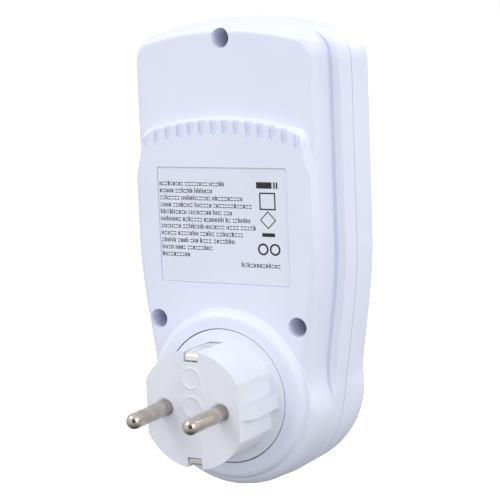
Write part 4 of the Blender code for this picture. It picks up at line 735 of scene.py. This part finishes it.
def socketCup():
    f, h = front, housing
    outer, mouth, inner = f["socketOuter"], f["socketMouth"], h["front"] - h["wall"] - h["gap"]
    lip = h["wall"]
    profile = [(0.0, f["socketBack"]), (outer, f["socketBack"]), (outer, inner - lip), (outer + lip, inner - lip)]
    profile += [(outer + lip, inner), (outer, inner), (outer, mouth - 0.6), (outer - 0.18, mouth - 0.18)]
    profile += [(outer - 0.6, mouth), (0.0, mouth)]
    piece = turned("socketCup", profile, steps=160)
    x, z = f["grooveWidth"] / 2, f["grooveHeight"] / 2
    notch = [(f["socketFlats"] / 2, -z), (x, -z), (x, z), (f["socketFlats"] / 2, z)]
    section = flattenedCircle(f["socketRadius"], f["socketFlats"])
    half = len(section) // 2
    section = notch + section[:half] + [(-a, -b) for a, b in notch] + section[half:]
    combine(piece, prism("recess", section, f["socketFloor"], beyond))
    for sign in (-1, 1):
        hole, floor = f["holeRadius"], f["socketFloor"]
        funnel = [(hole, 0.0), (hole, floor - 0.5), (hole + 0.5, floor), (hole + 0.5, 60.0)]
        combine(piece, turned("hole", funnel, sign * f["pinSpacing"] / 2, 0.0, 48))
        low, high = sorted((sign * 16.0, sign * 26.5))
        combine(piece, block("clipSlot", (-3.2, -52.8, low), (3.2, -f["socketBack"] + 1.0, high)))
    combine(piece, rod("post", 2.0, 0.0, 0.0, 31.5, f["socketBack"] + 0.5, 40), "UNION")
    finishEdges(piece, 0.3, angle=40.0, segments=3)
    return settle(piece, "housing", "white_insert", "socket_insert")


def keyCap(name):
    h = housing
    proud = 1.2 if name != "reset" else 0.0
    crown = 0.35 if name != "reset" else 0.2
    top = h["front"] + proud
    back = -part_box(f"key_{name}")[1][1] / mm
    lip, body = keyOutline(name, 1.0), keyOutline(name, 0.0)
    soft, dish = keyOutline(name, -crown), keyOutline(name, -crown - 0.35)
    rings = [atDepth(lip, back), atDepth(lip, back + 0.8), atDepth(body, back + 0.8)]
    rings += [atDepth(body, top - crown), atDepth(keyOutline(name, -crown * 0.3), top - crown * 0.3)]
    rings += [atDepth(soft, top), atDepth(dish, top), atDepth(keyOutline(name, -crown - 0.9), top - 0.12)]
    piece = skin(f"keyCap_{name}", rings)
    pickOnly(piece)
    bpy.ops.object.shade_smooth_by_angle(angle=math.radians(48.0))
    applied(piece, "WEIGHTED_NORMAL", weight=60, keep_sharp=True)
    return piece


def windowPane():
    f, h = front, housing
    rings = []
    thick = f["windowThickness"]
    for inset, depth in ((0.12, 0.0), (0.0, 0.12), (0.0, thick - 0.3), (0.09, thick - 0.09), (0.3, thick)):
        width, height = f["windowWidth"] - 2 * inset, f["windowHeight"] - 2 * inset
        edge = roundedBox(width, height, 1.7 - inset, 0.0, windowZ, 10)
        rings.append(atDepth(edge, h["front"] - thick + depth))
    piece = skin("windowPane", rings)
    pickOnly(piece)
    bpy.ops.object.shade_smooth_by_angle(angle=math.radians(30.0))
    return settle(piece, "housing", "clear_window", "display_window")


# each row holds its text, where it starts, its height above the window's centre and its share of the digit's size
display = {
    "digit": (3.4, 6.6), "stroke": 0.75, "lean": 0.12,
    "rows": (("230.0", 17.0, 4.6, 1.0), ("0.48", -9.0, 3.4, 0.6),
             ("12.45", 17.0, -6.8, 0.75), ("0.00", -6.0, -6.8, 0.75)),
}
litBars = {"0": "abcdef", "1": "bc", "2": "abged", "3": "abgcd", "4": "fgbc", "5": "afgcd", "8": "abcdefg",
           ".": "p"}


def segmentShape(letter, size, stroke):
    # one bar of a seven-segment digit, as corners in X and Z from the digit's centre
    w, t, s = size[0] / 2, size[1] / 2, stroke / 2
    if letter == "p":
        low, high = w + 0.9 - s, w + 0.9 + s
        return [(low, -t), (high, -t), (high, -t + stroke), (low, -t + stroke)]
    lines = {"a": ((-w, t), (w, t)), "g": ((-w, 0), (w, 0)), "d": ((-w, -t), (w, -t)),
             "f": ((-w, 0), (-w, t)), "b": ((w, 0), (w, t)), "e": ((-w, -t), (-w, 0)), "c": ((w, -t), (w, 0))}
    (x0, z0), (x1, z1) = lines[letter]
    gap = stroke * 0.62
    if z0 == z1:
        left, right = x0 + gap, x1 - gap
        return [(left, z0), (left + s, z0 + s), (right - s, z0 + s), (right, z0), (right - s, z0 - s),
                (left + s, z0 - s)]
    low, high = z0 + gap, z1 - gap
    return [(x0, low), (x0 + s, low + s), (x0 + s, high - s), (x0, high), (x0 - s, high - s), (x0 - s, low + s)]


def joinAll(name, pieces):
    bpy.ops.object.select_all(action="DESELECT")
    for piece in pieces:
        piece.select_set(True)
    bpy.context.view_layer.objects.active = pieces[0]
    bpy.ops.object.join()
    return named(name)


def displayDigits():
    depth = -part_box("lcd_glass")[0][1] / mm
    pieces = []
    for text, start, rowZ, share in display["rows"]:
        size = [side * share for side in display["digit"]]
        stroke = display["stroke"] * share
        x = -start
        for character in text:
            if character == ".":
                x -= size[0] + stroke * 2.4
            for letter in litBars[character]:
                corners = segmentShape(letter, size, stroke)
                shape = [(x + a + b * display["lean"], windowZ + rowZ + b) for a, b in corners]
                pieces.append(prism("segment", shape, depth + 0.02, depth + 0.08))
            x += size[0] + stroke * 2.4
    return settle(joinAll("displayDigits", pieces), "housing", "black_plastic", material=segmentInk)


socketCup()
keyCaps = {"function": keyCap("function")}
for i, name in enumerate(keyNames[1:], 1):
    keyCaps[name] = copied(keyCaps["function"], f"keyCap_{name}", i * front["keyPitch"])
keyCaps["reset"] = keyCap("reset")
for name, cap in keyCaps.items():
    settle(cap, f"key_{name}", "key_plastic", f"key_{name}")
windowPane()
displayDigits()
print("socket, keys and display made")


# lines holds how many ticks each word has; a shape's values are its size and how far it lies below the label's top
label = {
    "fill": 0.4, "letter": 1.1, "tall": 1.5, "pitch": 2.17, "left": 21.8, "first": 5.4, "seed": 7,
    "stem": 0.26, "gap": 0.3, "wordGap": 0.45, "wide": (0.64, 0.74, 0.84), "rule": 0.4,
    "lines": ((9, 8, 5), (5, 6, 6), (7, 10, 10), (4, 7, 6, 13), (9, 8, 3, 3), (7, 7, 7, 2, 6),
              (7, 7, 7, 4, 5), (5, 7, 5, 9), (5, 4, 3, 4, 7), (4, 4, 9), (10,)),
    "symbolX": 15.6, "capBar": (7.2, 3.9, 1.9), "square": (5.4, 7.0, 5.2), "diamond": (2.7, 15.2),
    "bar": (4.3, 19.1, 1.1), "rings": (1.8, 24.0, 0.55), "footRow": (13, 29.6, 9.6, 1.035),
}


def ratingLabel():
    low, high = [[value / mm for value in corner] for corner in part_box("rating_label")]
    width, height = high[0] - low[0] + label["fill"], high[2] - low[2] + label["fill"]
    centre = (low[2] + high[2]) / 2
    near, far = -high[1], -low[1]
    rings = [atDepth(roundedBox(width - 2 * inset, height - 2 * inset, 0.8 - inset, 0.0, centre, 8), depth)
             for inset, depth in ((0.0, far), (0.0, near + 0.06), (0.06, near))]
    piece = skin("ratingLabel", rings)
    finishEdges(piece, 0.0, smooth=30.0)
    return settle(piece, "housing", "printed_label", "rating_label"), near


def labelPrint(near):
    # stand-ins for print: rows of plain ticks the size of letters, and plain shapes for the symbols
    k = label
    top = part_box("rating_label")[1][2] / mm
    dice = random.Random(k["seed"])
    pieces = []

    def ink(shape):
        pieces.append(prism("mark", shape, near - 0.03, near - 0.004))

    def bar(x, z, width, height):  # x runs to the reader's right, which is -X
        ink([(-x, z), (-x - width, z), (-x - width, z + height), (-x, z + height)])

    def tick(x, z, wide):
        tall = k["tall"] if dice.random() < 0.3 else k["letter"]
        if dice.random() < 0.5:
            bar(x, z, k["stem"], tall)
            bar(x + wide - k["stem"], z, k["stem"], k["letter"])
        else:
            bar(x, z, wide, k["stem"])
            bar(x, z + k["letter"] - k["stem"], wide, k["stem"])

    for row, words in enumerate(k["lines"]):
        x, z = -k["left"], top - k["first"] - row * k["pitch"]
        for letters in words:
            for _ in range(letters):
                wide = dice.choice(k["wide"])
                tick(x, z, wide)
                x += wide + k["gap"]
            x += k["wordGap"]
    middle, rule = k["symbolX"], k["rule"]
    wide, drop, tall = k["capBar"]
    bar(middle - wide / 2, top - drop - tall, wide * 0.72, tall)
    bar(middle + wide * 0.3, top - drop - tall, 0.5, tall)
    bar(middle + wide * 0.42, top - drop - tall, 0.5, tall)
    wide, drop, tall = k["square"]
    for z in (drop, drop + tall - rule):
        bar(middle - wide / 2, top - z - rule, wide, rule)
    for x in (-wide / 2, wide / 2 - rule):
        bar(middle + x, top - drop - tall, rule, tall)
    half, drop = k["diamond"]
    for a, b in ((1, 1), (1, -1), (-1, -1), (-1, 1)):  # the four sides of a diamond
        ink([(-middle + a * half, top - drop), (-middle, top - drop + b * half),
             (-middle, top - drop + b * (half - rule)), (-middle + a * (half - rule), top - drop)])
    wide, drop, tall = k["bar"]
    bar(middle - wide / 2, top - drop - tall, wide, tall)
    radius, drop, width = k["rings"]
    for side in (-1, 1):
        for start in (0.0, 180.0):
            centre = (-middle - side * radius * 1.12, top - drop)
            outer = arc(radius, 17, *centre, start, start + 180.0)
            inner = arc(radius - width, 17, *centre, start + 180.0, start)
            ink(outer + inner)
    count, drop, start, step = k["footRow"]
    for spot in range(count):
        tick(middle - start + spot * step, top - drop, step - k["gap"])
    return settle(joinAll("labelPrint", pieces), "housing", "black_plastic", material=labelInk)


labelPiece, labelFace = ratingLabel()
labelPrint(labelFace)
print("label made")


screw = {"shank": 1.2, "thread": 1.45, "pitch": 0.44, "turns": 24, "head": 2.6, "headHeight": 2.0,
         "cross": (2.6, 0.55), "crossDepth": 1.1}


def crossScrew(name, node):
    # a pan-head thread-forming screw with a cross recess, its axis on the plug's axis until it is moved
    k = screw
    low, high = [[value / mm for value in corner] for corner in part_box(node)]
    head, tip = -high[1], -low[1]
    seat = head + k["headHeight"]
    profile = [(0.0, head), (1.2, head + 0.04), (2.0, head + 0.35), (2.45, head + 0.9), (k["head"], head + 1.5)]
    profile += [(k["head"], seat - 0.1), (k["head"] - 0.1, seat), (k["thread"], seat)]
    for i in range(k["turns"]):
        depth = seat + 0.6 + i * k["pitch"]
        profile += [(k["shank"], depth), (k["thread"], depth + k["pitch"] / 2)]
    profile += [(0.9, tip - 0.6), (0.3, tip - 0.05), (0.0, tip)]
    piece = turned(name, profile, steps=32)
    for wide, tall in (k["cross"], k["cross"][::-1]):
        combine(piece, block("crossCut", (-wide / 2, -head - k["crossDepth"], -tall / 2),
                             (wide / 2, -head + 1.0, tall / 2)))
    return finishEdges(piece, 0.0, smooth=40.0)


firstScrew = crossScrew("screwPattern", "housing_screw_left")
for side, place in screwPlaces.items():
    twin = copied(firstScrew, f"housingScrew_{side}", *place)
    settle(twin, "housing", "zinc_steel", f"housing_screw_{side}")
bpy.data.objects.remove(firstScrew, do_unlink=True)

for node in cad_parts.values():
    if node.hide_render:
        continue
    current = node.data.materials[0].name.split(".")[0] if node.data.materials else "grey_plastic"
    node.data.materials.clear()
    node.data.materials.append(finishes.get(current, finishes["grey_plastic"]))
print("inner pieces finished")


studio = {
    "floorDrop": 0.05, "floorSize": 40.0, "floorGlow": 0.45,
    "sky": (0.1, 0.88, 0.86),  # brightness straight down, level and straight up
    "middle": (0.0, -0.03, 0.04),
    "lamps": (("keyLamp", (0.45, 0.45, 0.75), 0.5, 3.0), ("fillLamp", (-0.8, 0.25, 0.35), 0.6, 2.5),
              ("frontLamp", (-0.2, -0.9, 0.6), 0.6, 2.0)),  # place, size and power
    "cardSize": 1.1, "cardPlace": (-0.52, 0.88, 0.26), "cardFacing": (-0.52, 0.88, 0.2),
    "cameraPlace": (-0.24803, 0.39979, 0.11659), "lens": 118.14,
    "right": (-0.87238, -0.48720, -0.03993), "down": (-0.03702, 0.14730, -0.98840),
}


def studioFloor():
    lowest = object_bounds()[0][2]
    place = (0.0, 0.0, lowest - studio["floorDrop"])
    bpy.ops.mesh.primitive_plane_add(size=studio["floorSize"], location=place)
    floor = named("studioFloor")
    made, tree, shader, place = emptyMaterial("matt white paper")
    feed(tree, shader, tint=twoTones(tree, (grainNoise(tree, place, 1.5), "Fac"), ("#F8F8FA", "#FCFCFC")))
    shader.inputs["Roughness"].default_value = 0.9
    shader.inputs["Emission Color"].default_value = (1.0, 1.0, 1.0, 1.0)
    shader.inputs["Emission Strength"].default_value = studio["floorGlow"]  # paper white on a lit table
    floor.data.materials.append(made)
    floor.visible_glossy = floor.visible_diffuse = floor.visible_shadow = False
    floor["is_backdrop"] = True


def softLamp(name, place, target, size, power):
    lamp = bpy.data.lights.new(name, "AREA")
    lamp.shape, lamp.size, lamp.energy = "SQUARE", size, power
    thing = bpy.data.objects.new(name, lamp)
    bpy.context.scene.collection.objects.link(thing)
    thing.location = place
    thing.rotation_euler = (Vector(target) - Vector(place)).to_track_quat("-Z", "Y").to_euler()


def studioWorld():
    world = bpy.data.worlds.new("studio")
    bpy.context.scene.world = world
    world.use_nodes = True
    tree = world.node_tree
    tree.nodes.clear()
    place = addNode(tree, "TexCoord", {})
    split = addNode(tree, "SeparateXYZ", {"Vector": (place, "Generated")})
    height = addNode(tree, "MapRange", {"Value": (split, "Z"), "From Min": -1.0, "From Max": 1.0})
    ramp = addNode(tree, "ValToRGB", {"Fac": (height, "Result")})
    ramp.color_ramp.elements.new(0.5)
    for stop, tone in zip(ramp.color_ramp.elements, studio["sky"]):
        stop.color = (tone, tone, tone, 1.0)
    lit = addNode(tree, "Background", {"Color": (ramp, "Color"), "Strength": 1.0})
    paper = addNode(tree, "Background", {"Color": (1.0, 1.0, 1.0, 1.0), "Strength": 1.0})
    seen = addNode(tree, "LightPath", {})
    parts = {0: (seen, "Is Camera Ray"), 1: (lit, "Background"), 2: (paper, "Background")}
    mixed = addNode(tree, "MixShader", parts)
    addNode(tree, "OutputWorld", {"Surface": (mixed, "Shader")})


def viewCamera():
    right, down = Vector(studio["right"]), Vector(studio["down"])
    forward = right.cross(down)
    down = forward.cross(right).normalized()
    forward.normalize()
    view = bpy.data.cameras.new("camera")
    view.sensor_width, view.lens, view.clip_start = 36.0, studio["lens"], 0.01
    thing = bpy.data.objects.new("camera", view)
    bpy.context.scene.collection.objects.link(thing)
    turn = Matrix((right, -down, -forward)).transposed().to_4x4()
    thing.matrix_world = Matrix.Translation(studio["cameraPlace"]) @ turn
    bpy.context.scene.camera = thing


def darkCard():
    # what stands behind a camera: a dark patch that polished metal picks up
    bpy.ops.mesh.primitive_plane_add(size=studio["cardSize"], location=studio["cardPlace"])
    card = named("darkCard")
    card.rotation_euler = Vector(studio["cardFacing"]).to_track_quat("Z", "Y").to_euler()
    made, tree, shader, place = emptyMaterial("black flock")
    feed(tree, shader, tint=twoTones(tree, (grainNoise(tree, place, 0.8), "Fac"), ("#050506", "#0C0C0D")))
    card.data.materials.append(made)
    card.visible_camera = card.visible_diffuse = card.visible_shadow = False
    card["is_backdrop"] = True


studioFloor()
darkCard()
studioWorld()
for name, place, size, power in studio["lamps"]:
    softLamp(name, place, studio["middle"], size, power)
viewCamera()
bpy.context.scene.view_settings.view_transform = "Standard"
print("studio made")
